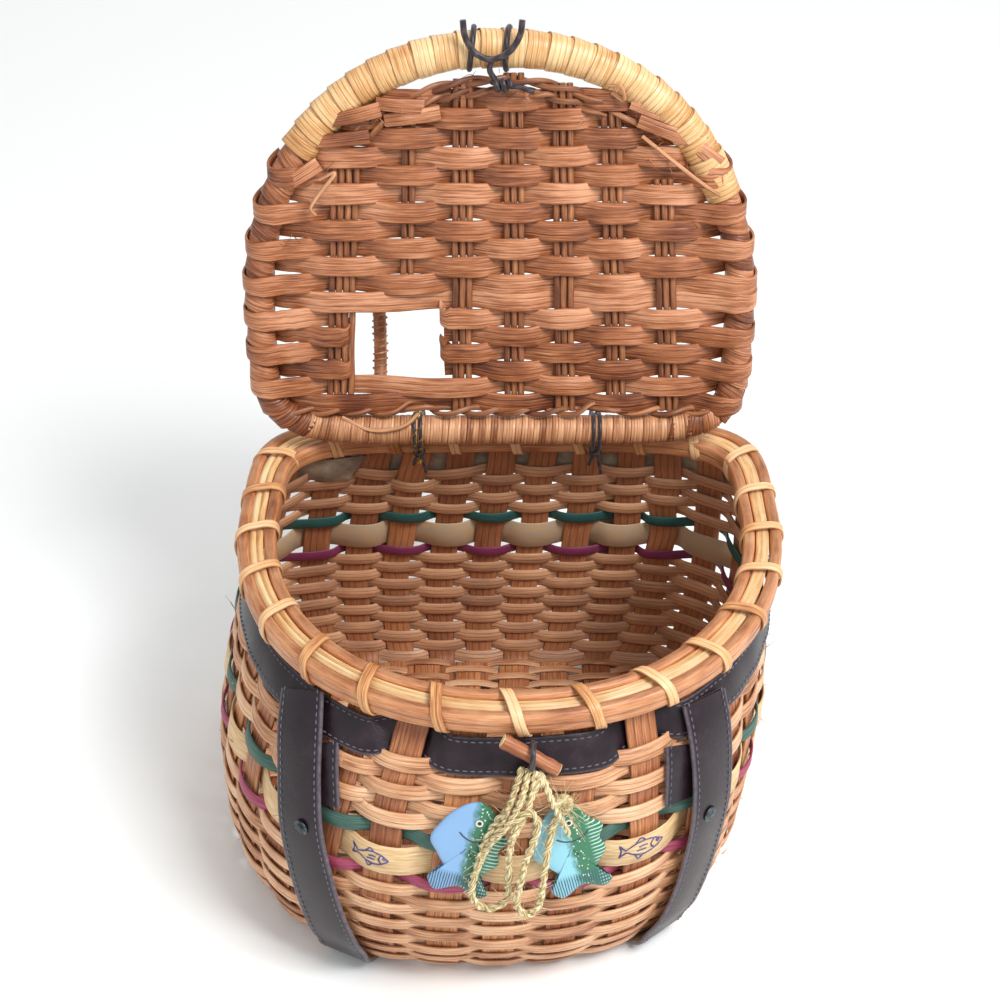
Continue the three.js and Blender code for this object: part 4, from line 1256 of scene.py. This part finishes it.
class CREEL_OT_rim(bpy.types.Operator):
    """Makes the rim's reeds and their cane lashing"""

    bl_idname = "creel.rim"
    bl_label = "Bind rim"

    def execute(self, context):
        sizes = context.scene.creel_sizes
        count = 260
        turn = np.linspace(0, math.tau, count, endpoint=False)
        for name, side in (("outer", 1), ("inner", -1)):
            points = wall_point(turn, RIM_HEIGHT, side * REED_MIDDLE)
            points[:, 2] = RIM_HEIGHT + drift(count, 0.25, 7 + side, 9, True)
            lay = side * wall_normal(turn, RIM_HEIGHT, upright=True)
            line = strand(points, lay, 1 + drift(count, 0.02, 8 + side, 20, True), 0.55, True)
            reeds(
                f"rim_reed_{name}_split", [line], "rim_hoop_reed", "basket", "reed",
                ["rim_reed_" + name], width=12, thick=6, rounding=0.95, corner=3,
            )
        points = wall_point(turn, RIM_HEIGHT, 0)
        points[:, 2] = FILLER_HEIGHT + drift(count, 0.3, 5, 14, True)
        fillers = []
        for shift in (-1.5, 1.6):
            wander = drift(count, 0.4, 12 + int(shift), 14, True)
            moved = wall_point(turn, RIM_HEIGHT, shift + wander)
            moved[:, 2] = points[:, 2]
            fillers.append(round_strand(moved, 1.0, 0.5 + 0.1 * shift, True))
        reeds(
            "rim_filler_peeled", fillers, "peeled_filler_cane", "basket", "filler",
            ["rim_filler"], width=4.2, corner=2,
        )
        nodes = sorted(n for n in frame["nodes"] if n.startswith("rim_lash_"))
        lashes = []
        for k, place in enumerate(self.even_turns(sizes.lash_count)):
            lashes.append(self.lash(place, k))
        reeds(
            "rim_lashings", lashes, "lashing_cane", "basket", "cane", nodes,
            width=5.6, thick=1.1, corner=2,
        )
        return {"FINISHED"}

    def even_turns(self, count):
        """Angles that divide the rim into even lengths, the first in the middle behind."""
        fine = np.linspace(math.pi / 2, math.pi / 2 + math.tau, 1441)
        lengths = run_along(wall_point(fine, RIM_HEIGHT))
        return np.interp(np.arange(count) / count * lengths[-1], lengths, fine)

    def lash(self, place, k):
        """One lashing over the reeds, slanted along the rim."""
        centre = wall_point(place, RIM_HEIGHT)
        out = wall_normal(np.array([place]), RIM_HEIGHT, upright=True)[0]
        along = np.array([-out[1], out[0], 0])
        profile = np.array([
            (7.2, -7.2), (10.0, -5.2), (11.0, 0.4), (9.4, 5.4), (5.2, 7.6), (0, 7.9),
            (-5.2, 7.6), (-9.4, 5.4), (-11.0, 0.4), (-10.0, -5.2), (-7.2, -7.2),
        ])
        smooth = smooth_path(profile, 1.6)
        rng = np.random.default_rng(70 + k)
        slant = 12.5 + rng.uniform(-2, 2)
        slide = slant * (0.5 - np.linspace(0, 1, len(smooth)))
        up = np.array([0, 0, 1])
        points = centre + smooth[:, :1] * out + slide[:, None] * along + smooth[:, 1:] * up
        step = tangents(smooth)
        lay = -step[:, 1:] * out + step[:, :1] * up
        if np.dot(lay[len(lay) // 2], up) < 0:
            lay = -lay
        return strand(points, lay, 1 + drift(len(points), 0.06, k), rng.uniform(0.2, 0.9))


def strap_line(side):
    """The middle line of a harness strap with its facing directions: front, under and back."""
    column = 1 if side == "left" else 2
    stand = 3 if side == "left" else 4
    points, lays = [], []
    for row in STRAP_DROP:
        height = FLOOR_GAP + row[0] * WALL_RISE
        room = SKIN + row[stand]
        turn = turn_at(RIM_HALF * row[column], height, room)
        points.append(wall_point(turn, height, room))
        lays.append(wall_normal(turn, height))
    front_turn = turn
    back_x = RIM_HALF * STRAP_BACK[side]
    back_turn = turn_at(back_x, FLOOR_GAP, SKIN + 0.3, behind=True)
    edge = FLOOR_GAP + WALL[1, 0] * WALL_RISE
    below = []
    for turn in (front_turn, back_turn):
        out = wall_normal(np.array(turn), edge, upright=True)
        foot = wall_point(turn, FLOOR_GAP, SKIN + 0.3) * (1, 1, 0) + (0, 0, 2.0)
        below.append([
            (wall_point(turn, edge + 1, SKIN + 1.6), out),
            (foot, unit(out - (0, 0, 1))),
            (foot - out * 14, np.array([0, 0, -1.0])),
        ])
    for point, lay in below[0] + below[1][::-1]:
        points.append(point)
        lays.append(lay)
    for share in STRAP_BACK_ROWS:
        height = FLOOR_GAP + share * WALL_RISE
        room = SKIN + (2.6 if share > 0.7 else 2.7)
        turn = turn_at(back_x, height, room, behind=True)
        points.append(wall_point(turn, height, room))
        lays.append(wall_normal(turn, height))
    points, lays = np.array(points), np.array(lays)
    lengths = run_along(points)
    path = smooth_path(points, 4.0)
    marks = run_along(path)
    marks = marks / marks[-1] * lengths[-1]
    line = strand(path, look_up(marks, lengths, lays))
    line["points"] = line["points"] + line["lay"] * STRAP_THICK / 2
    for _ in range(6):
        # lifted until nothing of the strap is below the floor
        side = np.cross(tangents(line["points"]), line["lay"])
        reach = STRAP_WIDTH / 2 * np.abs(side[:, 2]) + STRAP_THICK / 2 * np.abs(line["lay"][:, 2])
        line["points"][:, 2] += np.maximum(0, 0.65 - (line["points"][:, 2] - reach))
        line = strand(line["points"], line["lay"])
    return line


def side_line(line, offset, lift):
    """A line beside a strand's middle, on its face."""
    along = tangents(line["points"], line["closed"])
    side = np.cross(along, line["lay"])
    return {**line, "points": line["points"] + side * offset + line["lay"] * lift}


class CREEL_OT_leather(bpy.types.Operator):
    """Makes the leather band, the harness straps, their tails, stitches and rivets"""

    bl_idname = "creel.leather"
    bl_label = "Fit leather"

    def execute(self, context):
        hide = "waxed_cowhide"
        seams = []
        force = [1] * STAKE_COUNT
        for inside in (1, 5, STAKE_COUNT - LEFT_STAKES - 1):
            force[inside] = -1
        middle = BAND_TOP - BAND_HEIGHT / 2
        band = row_line(middle, 0, 3.6, 0.4, 3, 0.15, force=force)
        reeds(
            "leather_band_stitched", [band], hide, "basket", "leather", ["leather_band"],
            width=BAND_HEIGHT, thick=1.8, rounding=0.6, corner=2,
        )
        seams += [side_line(band, offset, 0.95) for offset in (-6.8, 6.8)]
        for side in ("left", "right"):
            line = strap_line(side)
            reeds(
                f"strap_{side}_stitched", [line], hide, "basket", "leather", ["strap_" + side],
                width=STRAP_WIDTH, thick=STRAP_THICK, rounding=0.7, corner=2,
            )
            seams += [side_line(line, offset, 1.05) for offset in (-11.2, 11.2)]
            tail = self.tail(side)
            reeds(
                f"strap_{side}_tail", [tail], hide, "basket", "leather", ["strap_tail_" + side],
                width=TAIL_WIDTH, thick=1.8, rounding=0.7, corner=2,
            )
            seams += [side_line(tail, offset, 0.95) for offset in (-8.6, 8.6)]
            self.rivet(side)
        grow("leather_stitches", seams, "lay_stitches", {
            "Pitch": context.scene.creel_sizes.stitch_pitch, "Length": 2.5 * MM,
            "Thickness": 0.75 * MM, "Material": finish_of("saddle_thread"),
        }, "basket")
        return {"FINISHED"}

    def tail(self, side):
        """The short end of a strap that hangs from under the band."""
        heights = BAND_TOP - BAND_HEIGHT - 1.2 - 27 * np.linspace(0, 1, 8)
        points, lays = [], []
        for height in heights:
            turn = turn_at(RIM_HALF * TAIL_PLACE[side], height, SKIN + 0.3)
            points.append(wall_point(turn, height, SKIN + 1.3))
            lays.append(wall_normal(turn, height))
        return strand(np.array(points), np.array(lays), 1.0, 0.4)

    def rivet(self, side):
        """A domed rivet with a rolled edge, turned from a profile."""
        column, stand = (1, 3) if side == "left" else (2, 4)
        row = STRAP_DROP[STRAP_DROP[:, 0] == RIVET_ROW][0]
        height = FLOOR_GAP + row[0] * WALL_RISE
        turn = turn_at(RIM_HALF * row[column], height, SKIN + row[stand] + 2.3)
        centre = wall_point(turn, height, SKIN + row[stand] + 2.0)
        out = wall_normal(turn, height, upright=True)
        side_way = unit(np.cross(out, [0, 0, 1]))
        up = np.cross(side_way, out)
        # radius and rise of its rings, from the leather to the dome
        profile = [
            (4.0, 0), (4.2, 0.5), (3.9, 1.0), (3.2, 1.05), (2.9, 0.8), (2.2, 1.4), (1.1, 1.75),
        ]
        top = 1.85
        spins = math.tau * np.arange(28) / 28
        points = [
            centre + radius * (math.cos(a) * side_way + math.sin(a) * up) + rise * out
            for radius, rise in profile for a in spins
        ]
        hubs = [centre, centre + top * out]
        mesh = skin(f"rivet_{side}_domed", points, len(spins), hubs, "blackened_steel")
        settle(mesh.name, mesh, "basket", ["rivet_" + side])


def wrapping(path, radius, depth, pitch, seed, tint, lean, skew):
    """A flat cane wound round a path that lies in the lid's plane, one turn beside the other.
    lean lifts one edge of the cane over the turn before, and skew slants the turns."""
    along = tangents(path)
    across = np.cross(along, LID_OUT)
    marks = run_along(path)
    turns = max(1, int(round(marks[-1] / pitch)))
    rng = np.random.default_rng(seed)
    made = []
    for k in range(turns):
        spin = np.linspace(0, math.tau, 19)
        middle = (k + 0.5) * marks[-1] / turns + rng.normal(0, 0.03 * pitch)
        at = middle + skew * np.sin(spin) + pitch * (spin / math.tau - 0.5) * 0.9
        at = np.clip(at, 0, marks[-1])
        here, way, forward = (look_up(at, marks, rows) for rows in (path, across, along))
        swell = 1 + rng.normal(0, 0.012)
        sideways, outward_share = np.sin(spin)[:, None], np.cos(spin)[:, None]
        radial = sideways * way * radius * swell + outward_share * LID_OUT * depth * swell
        lay = unit(sideways * way + outward_share * LID_OUT)
        made.append(strand(here + radial, lay + lean * forward, 1.0, rng.uniform(*tint)))
    return made


def to_world_strands(strands):
    """Turns strands of the lid's own plane into the basket's frame."""
    for line in strands:
        line["points"] = from_lid(line["points"])
        line["lay"] = from_lid(line["lay"], directions=True)
    return strands


class CREEL_OT_lid_frame(bpy.types.Operator):
    """Makes the lid's bent rod with its cane bindings, and the carrying loop"""

    bl_idname = "creel.lid_frame"
    bl_label = "Bind lid frame"

    ARCH = (0.505, 2.43)
    LOOP = [(2.8, 13), (6.8, 13), (22.8, 32.8), (22.8, 72.3), (6.8, 92), (2.8, 92)]

    def execute(self, context):
        turn = np.linspace(0, math.tau, 160, endpoint=False)
        rod = round_strand(lid_rim(turn), 1.0, 0.4, True)
        reeds(
            "lid_rod", [rod], "bar_binding_cane", "lid", "cane",
            ["lid_frame"], width=ROD_WIDTH, corner=4,
        )
        # the arch, between two angles round the lid, then the bar from corner to corner
        start, end = self.ARCH
        arch = lid_rim(np.linspace(end, start, 140))
        wraps = wrapping(arch, 8.9, 8.0, 11.2, 1, (0.35, 0.9), 0.07, 2.0)
        reeds(
            "lid_arch_binding", wraps, "arch_binding_cane", "lid", "cane",
            width=13.2, thick=0.9, corner=2,
        )
        bar = lid_rim(np.linspace(math.pi + 0.55, math.tau - 0.55, 240))
        wraps = wrapping(bar, 7.7, 7.7, 3.3, 2, (0.3, 0.7), 0.05, 1.2)
        reeds(
            "lid_bar_binding", wraps, "bar_binding_cane", "lid", "cane",
            width=3.5, thick=0.9, corner=1,
        )
        loop = smooth_path([(-66, y, z) for y, z in self.LOOP], 2.5)
        reeds(
            "lid_loop_rod", [round_strand(loop)], "lid_spoke_reed",
            "lid", "cane", ["lid_loop"], width=7.2, corner=3,
        )
        winding = round_strand(helix_round(smooth_path(loop, 0.8), 3.9, 26, 0))
        reeds(
            "lid_loop_winding", [winding], "bar_binding_cane", "lid", "cane",
            width=1.6, thick=1.2, rounding=0.9,
        )
        return {"FINISHED"}


def spoke_x(place, up):
    """Spokes lean together towards the top of the lid, by 13 % at 190 mm up."""
    return place * (1 - 0.13 * up / 190)


class CREEL_OT_lid_weave(bpy.types.Operator):
    """Weaves the lid: grouped spokes, wide weavers, twined edges and the torn places"""

    bl_idname = "creel.lid_weave"
    bl_label = "Weave lid"

    # broken ends near the top: start and end on the lid, and how far they stand out
    STUBS = [
        (-96, 161, -66, 164, 5.5), (-86, 172, -60, 178, 6.5), (-62, 181, -38, 179, 6),
        (-58, 172, -30, 176, 5), (70, 172, 104, 160, 6), (98, 161, 112, 150, 6.5),
        (-112, 138, -92, 150, 6), (66, 181, 92, 172, 5),
    ]

    def execute(self, context):
        sizes = context.scene.creel_sizes
        cane = "lid_weaver_reed"
        pitch = sizes.lid_row_pitch / MM
        rows = []
        count = int((188 - 17) / pitch)
        for k in range(count + 1):
            rows += self.row(17 + pitch * k, k)
        reeds(
            "lid_weavers", rows, cane, "lid", "lid_weave", ["lid_panel"],
            width=sizes.lid_weaver_width / MM, thick=1.9, corner=2,
        )
        self.side_turns(cane, pitch, sizes)
        self.spokes()
        self.twining()
        self.damage(cane)
        return {"FINISHED"}

    def row(self, up, k):
        """The pieces of one row, cut where the window is."""
        reach = lid_half_width(up, 0)
        ends = [(-reach, reach)]
        left, right, low, high = WINDOW
        if low - 2 < up < high + 2:
            ends = [(-reach, left), (right, reach)]
        places = [spoke_x(s[0], up) for s in SPOKES if s[2] - 4 < up or s[0] != -52]
        places = np.array([places[0] - 34, *places, places[-1] + 34])
        made = []
        for start, end in ends:
            x = np.linspace(start, end, max(4, int((end - start) / 2.8)))
            phase = np.interp(x, places, np.arange(len(places)))
            wave = np.cos(math.pi * (phase + k))
            y = -1.0 + 2.3 * np.clip(1.4 * wave, -1, 1) + 0.5 * wave
            points = xyz(x, y, up + drift(len(x), 0.45, 200 + k))
            lay = np.tile((0.0, -1.0, 0.0), (len(x), 1))
            girth = 1 + drift(len(x), 0.05, 400 + k, 9) - 0.1 * np.clip(wave, 0, 1)
            rng = np.random.default_rng(900 + k)
            for side, at, level in ((-1, start, wave[0]), (1, end, wave[-1])):
                if abs(at) < reach - 1:
                    if level < 0.2:
                        points, lay, girth = self.turned(
                            points, lay, girth, side, at - side * 2, radius=3.2, depth=-1, rise=6,
                        )
                elif level < 0 and up < 152:
                    points, lay, girth = self.turned(
                        points, lay, girth, side, at, radius=8.3, depth=0, rise=8,
                    )
                else:
                    near = np.clip(1 - side * (at - points[:, 0]) / 13, 0, 1)
                    points[:, 1] += near * (7.6 - points[:, 1])
            made.append(strand(points, lay, girth, rng.uniform(0.2, 0.8)))
        return made

    def turned(self, points, lay, girth, side, middle, radius, depth, rise):
        """Carries one end of a row round a rod and back behind it."""
        near = np.clip(1 - side * (middle - points[:, 0]) / (1.8 * radius), 0, 1)
        near = near * near * (3 - 2 * near)
        points[:, 1] += near * (depth - radius - points[:, 1])
        spin = np.linspace(0.12, 0.95, 9) * math.pi
        tip = points[-1] if side > 0 else points[0]
        bend = xyz(
            middle + side * radius * np.sin(spin), depth - radius * np.cos(spin),
            tip[2] + rise * (spin / math.pi) ** 1.7,
        )
        out = xyz(side * np.sin(spin), -np.cos(spin), 0.0)
        slim = 0.95 - 0.25 * np.sin(spin)
        if side > 0:
            keep = points[:, 0] < middle
            return (np.vstack([points[keep], bend]), np.vstack([lay[keep], out]),
                    np.concatenate([girth[keep], slim]))
        keep = points[:, 0] > middle
        return (np.vstack([bend[::-1], points[keep]]), np.vstack([out[::-1], lay[keep]]),
                np.concatenate([slim[::-1], girth[keep]]))

    def side_turns(self, cane, pitch, sizes):
        """Where the weavers turn round the rod at each side."""
        made = []
        for side in (1, -1):
            start, end = (-0.62, 0.5) if side > 0 else (math.pi + 0.62, 2.44)
            path = lid_rim(np.linspace(start, end, 90))
            made += wrapping(path, 7.1, 7.1, pitch, 11 + side, (0.0, 0.5), 0.1, 4.5)
        # narrower than the rows, so that the closed lid clears the rim's lashings
        reeds(
            "lid_side_turns", made, cane, "lid", "lid_weave",
            width=0.88 * sizes.lid_weaver_width / MM, thick=1.2, rounding=0.7,
        )

    def spokes(self):
        """Groups of round reeds up the lid."""
        for k, (place, count, low, high) in enumerate(SPOKES):
            made = []
            for n in range(count):
                z = np.linspace(low, high, 40)
                x = spoke_x(place, z) + (n - (count - 1) / 2) * 3.7 + drift(40, 0.3, 50 * k + n)
                points = xyz(x, -1.2, z)
                made.append(strand(points, (0, -1, 0), 1.0, 0.3 + 0.1 * n))
            reeds(
                f"lid_spokes_{k + 1}_reeds", made, "lid_spoke_reed",
                "lid", "lid_weave", [f"lid_spokes_{k + 1}"],
                width=3.5, thick=2.6, rounding=1.0, corner=2,
            )

    def twining(self):
        """Pairs of round reeds twisted along the foot and under the arch."""
        made = []
        x = np.arange(-118, 118, 2.5)
        for start in (0, math.pi):
            spin = math.pi * x / 17 + start
            # it keeps clear of the cords that tie the bar
            lift = 3.2 * sum(np.exp(-((x + LID_SHIFT - tie) / 8) ** 4) for tie in TIES)
            points = xyz(x, -2.0 + 3.4 * np.sin(spin), 12 + lift + 1.5 * np.cos(spin))
            made.append(round_strand(points, 1.0, 0.4 + 0.2 * (start > 0)))
        for inset, first, last in ((15.5, 2.3, 0.95), (21, 2.2, 1.1)):
            line = lid_rim(np.linspace(first, last, 90), inset)
            for start in (0, math.pi):
                spin = np.linspace(0, 9 * math.pi, 90) + start
                wave = xyz(0.0, -1.5 + 2.6 * np.sin(spin), 1.3 * np.cos(spin))
                made.append(round_strand(line + wave, 1.0, 0.3 + 0.3 * (start > 0)))
        reeds(
            "lid_twining", made, "lid_spoke_reed", "lid", "lid_weave",
            width=3.0, corner=2,
        )

    def damage(self, cane):
        """Broken weaver ends, a loose cane, a curled one and frayed fibres."""
        made = []
        for k, (x0, z0, x1, z1, proud) in enumerate(self.STUBS):
            t = np.linspace(0, 1, 8)
            y = -proud - 1.5 * np.sin(math.pi * t)
            points = xyz(x0 + (x1 - x0) * t, y, z0 + (z1 - z0) * t)
            made.append(strand(points, (0, -1, 0), 0.85 + 0.15 * t, 0.3 + 0.08 * k))
        reeds(
            "lid_broken_ends", made, cane, "lid", "lid_weave",
            width=8.0, thick=1.4, rounding=0.6,
        )
        loose = [
            smooth_path([(72, -5, 164), (88, -8, 152), (104, -9, 140), (118, -6, 131)], 3),
            smooth_path([(56, -5, 186), (62, -9, 183), (60, -10, 190), (54, -7, 190)], 1.5),
            smooth_path([(-92, -7, 142), (-84, -9, 146), (-97, -10, 128), (-95, -8, 124)], 1.5),
            smooth_path([(-86, -4, 9), (-70, -8, 3), (-52, -9, 6), (-44, -5, 12)], 3),
        ]
        reeds(
            "lid_loose_canes", [round_strand(p, 1.0, 0.7) for p in loose],
            "bar_binding_cane", "lid", "lid_weave", width=2.2, thick=1.6, rounding=0.9,
        )
        rng = np.random.default_rng(8)
        anchors = []
        for _ in range(60):
            turn = rng.uniform(0.4, 2.8)
            point = lid_rim(np.array([turn]), rng.uniform(8, 26))[0] + (0, -5, 0)
            anchors.append((point, (rng.normal(), -1.2, rng.normal())))
        reeds(
            "lid_fibres", hairs(anchors, 0.5, 8, 70, 31), cane, "lid", "lid_weave",
            width=0.45, thick=0.35,
        )


def cord_ring(x, corners, spacing=1.2):
    """A closed loop of cord through (y, z) corners at one x."""
    corners = list(corners)
    doubled = [(x, y, z) for y, z in corners[-2:] + corners + corners[:2]]
    path = smooth_path(doubled, spacing)
    middle = len(path) // 2
    gap = np.linalg.norm(path - doubled[2], axis=1)
    return path[np.argmin(gap[:middle]):middle + np.argmin(gap[middle:])]


class CREEL_OT_cords(bpy.types.Operator):
    """Ties the hinge cords, the closure cord and the toggle"""

    bl_idname = "creel.cords"
    bl_label = "Tie cords"

    def execute(self, context):
        thong = "black_thong"
        self.hinge_ties(thong)
        self.closure(thong)
        self.toggle(thong)
        return {"FINISHED"}

    def hinge_ties(self, thong):
        """Doubled cords with a knot round the rim and the lid's bar, one with tinsel and a bead."""
        corners = [
            (65.6, 168), (69.2, 163.1), (78, 162.7), (84.4, 163.1), (90.4, 171), (89.4, 177.3),
            (84.4, 183.5), (68.9, 185.9), (66.3, 193.2), (60, 195.8), (53.7, 193.2),
            (51.1, 185.9), (53.3, 180.2),
        ]
        gold = []
        for k, x in enumerate(TIES):
            made = [
                round_strand(cord_ring(x + shift, corners), closed=True) for shift in (-1.7, 1.7)
            ]
            knot = np.array([x, 62.5, 171.5])
            spin = np.linspace(0, 4 * math.pi, 40)
            made.append(round_strand(knot + xyz(
                2.6 * np.sin(spin), 1.7 * np.cos(spin), 1.6 * np.cos(spin / 2 + 1),
            )))
            # its two loose ends
            for dx, drop in ((-2.2, 10), (2.6, 15)):
                made.append(round_strand(smooth_path([
                    knot, knot + (dx * 0.6, -1.2, -4), knot + (dx, -0.8, -0.6 * drop),
                    knot + (dx * 1.4, 0.4, -drop),
                ], 1.2)))
            reeds(
                f"hinge_cord_{k + 1}", made, thong, "basket", "cord", [f"hinge_tie_{k + 1}"],
                width=2.0, corner=2,
            )
            if k == 0:
                for shift in (-1.7, 1.7):
                    ring = cord_ring(x + shift, corners, 0.5)
                    gold.append(round_strand(helix_round(ring, 1.15, len(ring) / 14, shift)))
                bead = knot + (0.3, -1.6, -6)
                spin = np.linspace(0, math.tau, 13)[:-1]
                for lift in (-0.9, 0.0, 0.9):
                    ring = xyz(1.3 * np.cos(spin), 1.3 * np.sin(spin), lift)
                    gold.append(round_strand(bead + ring, 2.4 if lift == 0 else 1.6, closed=True))
        reeds(
            "hinge_cord_tinsel", gold, "tinsel_wire", "basket", "cord",
            width=0.5,
        )

    def closure(self, thong):
        """Two turns, a loop and a knot of cord at the top of the lid."""
        # half the width of the arch over its binding, and how far in front the loop lies
        bar, face = 9.7, -12.5
        for k, x in enumerate((-14, 4)):
            spin = np.linspace(0, math.tau, 36, endpoint=False)
            ring = xyz(
                x + 1.2 * np.sin(spin + k), 0.95 * bar * np.cos(spin),
                LID_LENGTH + 1.06 * bar * np.sin(spin),
            )
            reeds(
                f"closure_cord_turn_{k + 1}", [round_strand(ring, closed=True)], thong,
                "lid", "cord", [f"closure_turn_{k + 1}"], width=3.0, corner=2,
            )
        route = [(-18, 16), (-17, 8), (-12, 0), (-4, -3), (5, 1), (10, 9), (11, 16)]
        path = smooth_path([(x, face, LID_LENGTH + up) for x, up in route], 1.5)
        reeds(
            "closure_cord_loop", [round_strand(path)], thong, "lid", "cord",
            ["closure_loop"], width=3.2, corner=2,
        )
        knot = np.array([1.0, -8.7, 0.92 * LID_LENGTH])
        spin = np.linspace(0, 5 * math.pi, 60)
        wound = knot + xyz(
            np.linspace(-4.5, 4.5, 60), 2.2 * np.cos(spin), 2.2 * np.sin(spin),
        )
        tail = smooth_path([knot + (3, -1, 0), knot + (9, -2, -0.5), knot + (16, -1, -3)], 1.5)
        rise = smooth_path([knot + (-2, 0, 1), knot + (-6, -2, 8), knot + (-5, -2.5, 13)], 1.5)
        reeds(
            "closure_cord_knot", [round_strand(p) for p in (wound, tail, rise)], thong,
            "lid", "cord", ["closure_knot"], width=3.0, corner=2,
        )

    def toggle(self, thong):
        """A short twig in a thong that comes out of the band."""
        # it hangs clear of the rim's reed, the lashing and the leather
        radius, height, droop, room = 3.5, 161, math.radians(28), 18.1
        turn = turn_at(9, RIM_HEIGHT, room)
        middle = wall_point(turn, RIM_HEIGHT, room) * (1, 1, 0) + (0, 0, height)
        way = unit(np.array([1, -0.2, -math.tan(droop)]))
        t = np.linspace(-14.5, 14.5, 26)
        girth = 1 + 0.04 * np.sin(t * 0.8) - 0.002 * t + drift(26, 0.03, 4)
        twig = round_strand(middle + t[:, None] * way, girth, 0.5)
        reeds(
            "toggle_twig_bark", [twig], "willow_bark", "basket", "twig", ["toggle_twig"],
            width=6.9, corner=3,
        )
        ends = [
            round_strand(middle + way * side * np.linspace(14.3, 14.75, 3)[:, None], 0.92)
            for side in (-1, 1)
        ]
        reeds(
            "toggle_cut_ends", ends, "willow_end_grain", "basket", "twig",
            width=6.6, corner=3,
        )
        # the thong comes out of the band and goes round the twig
        band = front_point(9, 149, 5.6)[0]
        ring = radius / math.cos(droop) + 2.4
        x, y = middle[:2]
        route = [(band[1], 149), (band[1] - 3, 150)] + [
            (y + dy * ring, height + dz * ring)
            for dy, dz in ((0, -1), (-0.8, -0.6), (-1, 0.2), (-0.5, 0.9), (0.6, 0.7), (0.9, -0.3))
        ]
        path = smooth_path([(x + 0.2 * k, *place) for k, place in enumerate(route)], 1.2)
        reeds(
            "toggle_thong_cord", [round_strand(path)], thong, "basket", "cord", ["toggle_thong"],
            width=2.6, corner=2,
        )


class CREEL_OT_stage(bpy.types.Operator):
    """Lays the pale floor and sets the soft studio light"""

    bl_idname = "creel.stage"
    bl_label = "Set stage"

    LIGHTS = [
        # name, place, size, watts
        ("key", (0.8, -0.68, 1.6), 0.65, 31.0),
        ("fill", (-1.3, -1.3, 1.2), 1.8, 2.4),
        ("back", (0.1, 2.2, 1.6), 2.4, 12.0),
    ]

    def execute(self, context):
        mesh = bpy.data.meshes.new("floor")
        reach = 6.0
        corners = [(x * reach, y * reach, 0) for x, y in ((-1, -1), (1, -1), (1, 1), (-1, 1))]
        mesh.from_pydata(corners, [], [(0, 1, 2, 3)])
        floor = bpy.data.objects.new("floor", mesh)
        context.scene.collection.objects.link(floor)
        # matt paper, all but white
        mesh.materials.append(Finish("matt_backdrop_paper", "#F4F6F5", 0.9).done())
        world = bpy.data.worlds.new("studio")
        world.use_nodes = True
        background = world.node_tree.nodes["Background"]
        background.inputs["Color"].default_value = linear("#F8F9FA")
        background.inputs["Strength"].default_value = 0.7
        context.scene.world = world
        for name, place, size, watts in self.LIGHTS:
            light = bpy.data.lights.new(name, "AREA")
            light.size = size
            light.energy = watts
            made = bpy.data.objects.new(name, light)
            context.scene.collection.objects.link(made)
            made.location = place
            aim = Vector((0, 0, 0.15)) - Vector(place)
            made.rotation_euler = aim.to_track_quat("-Z", "Y").to_euler()
        context.scene.view_settings.view_transform = "Standard"
        return {"FINISHED"}


STEPS = (
    "view", "twine", "stakes", "weave", "strips", "rim", "leather", "lid_frame", "lid_weave",
    "cords", "stage",
)


class CREEL_PT_panel(bpy.types.Panel):
    """Lists the creel's sizes, colours and making steps"""

    bl_idname = "CREEL_PT_panel"
    bl_label = "Creel"
    bl_space_type = "VIEW_3D"
    bl_region_type = "UI"
    bl_category = "Creel"

    def draw(self, context):
        for group in (context.scene.creel_sizes, context.scene.creel_colours):
            column = self.layout.column(align=True)
            for name in group.__annotations__:
                column.prop(group, name)
        for step in STEPS:
            self.layout.operator("creel." + step)


CLASSES = (
    CreelSizes, CreelColours, CREEL_OT_view, CREEL_OT_twine, CREEL_OT_stakes, CREEL_OT_weave,
    CREEL_OT_strips, CREEL_OT_rim, CREEL_OT_leather, CREEL_OT_lid_frame, CREEL_OT_lid_weave,
    CREEL_OT_cords, CREEL_OT_stage, CREEL_PT_panel,
)


def register():
    for each in CLASSES:
        bpy.utils.register_class(each)
    bpy.types.Scene.creel_sizes = PointerProperty(type=CreelSizes)
    bpy.types.Scene.creel_colours = PointerProperty(type=CreelColours)


def unregister():
    del bpy.types.Scene.creel_sizes
    del bpy.types.Scene.creel_colours
    for each in reversed(CLASSES):
        bpy.utils.unregister_class(each)


def main():
    register()
    for step in STEPS:
        getattr(bpy.ops.creel, step)()


if __name__ == "__main__":
    main()
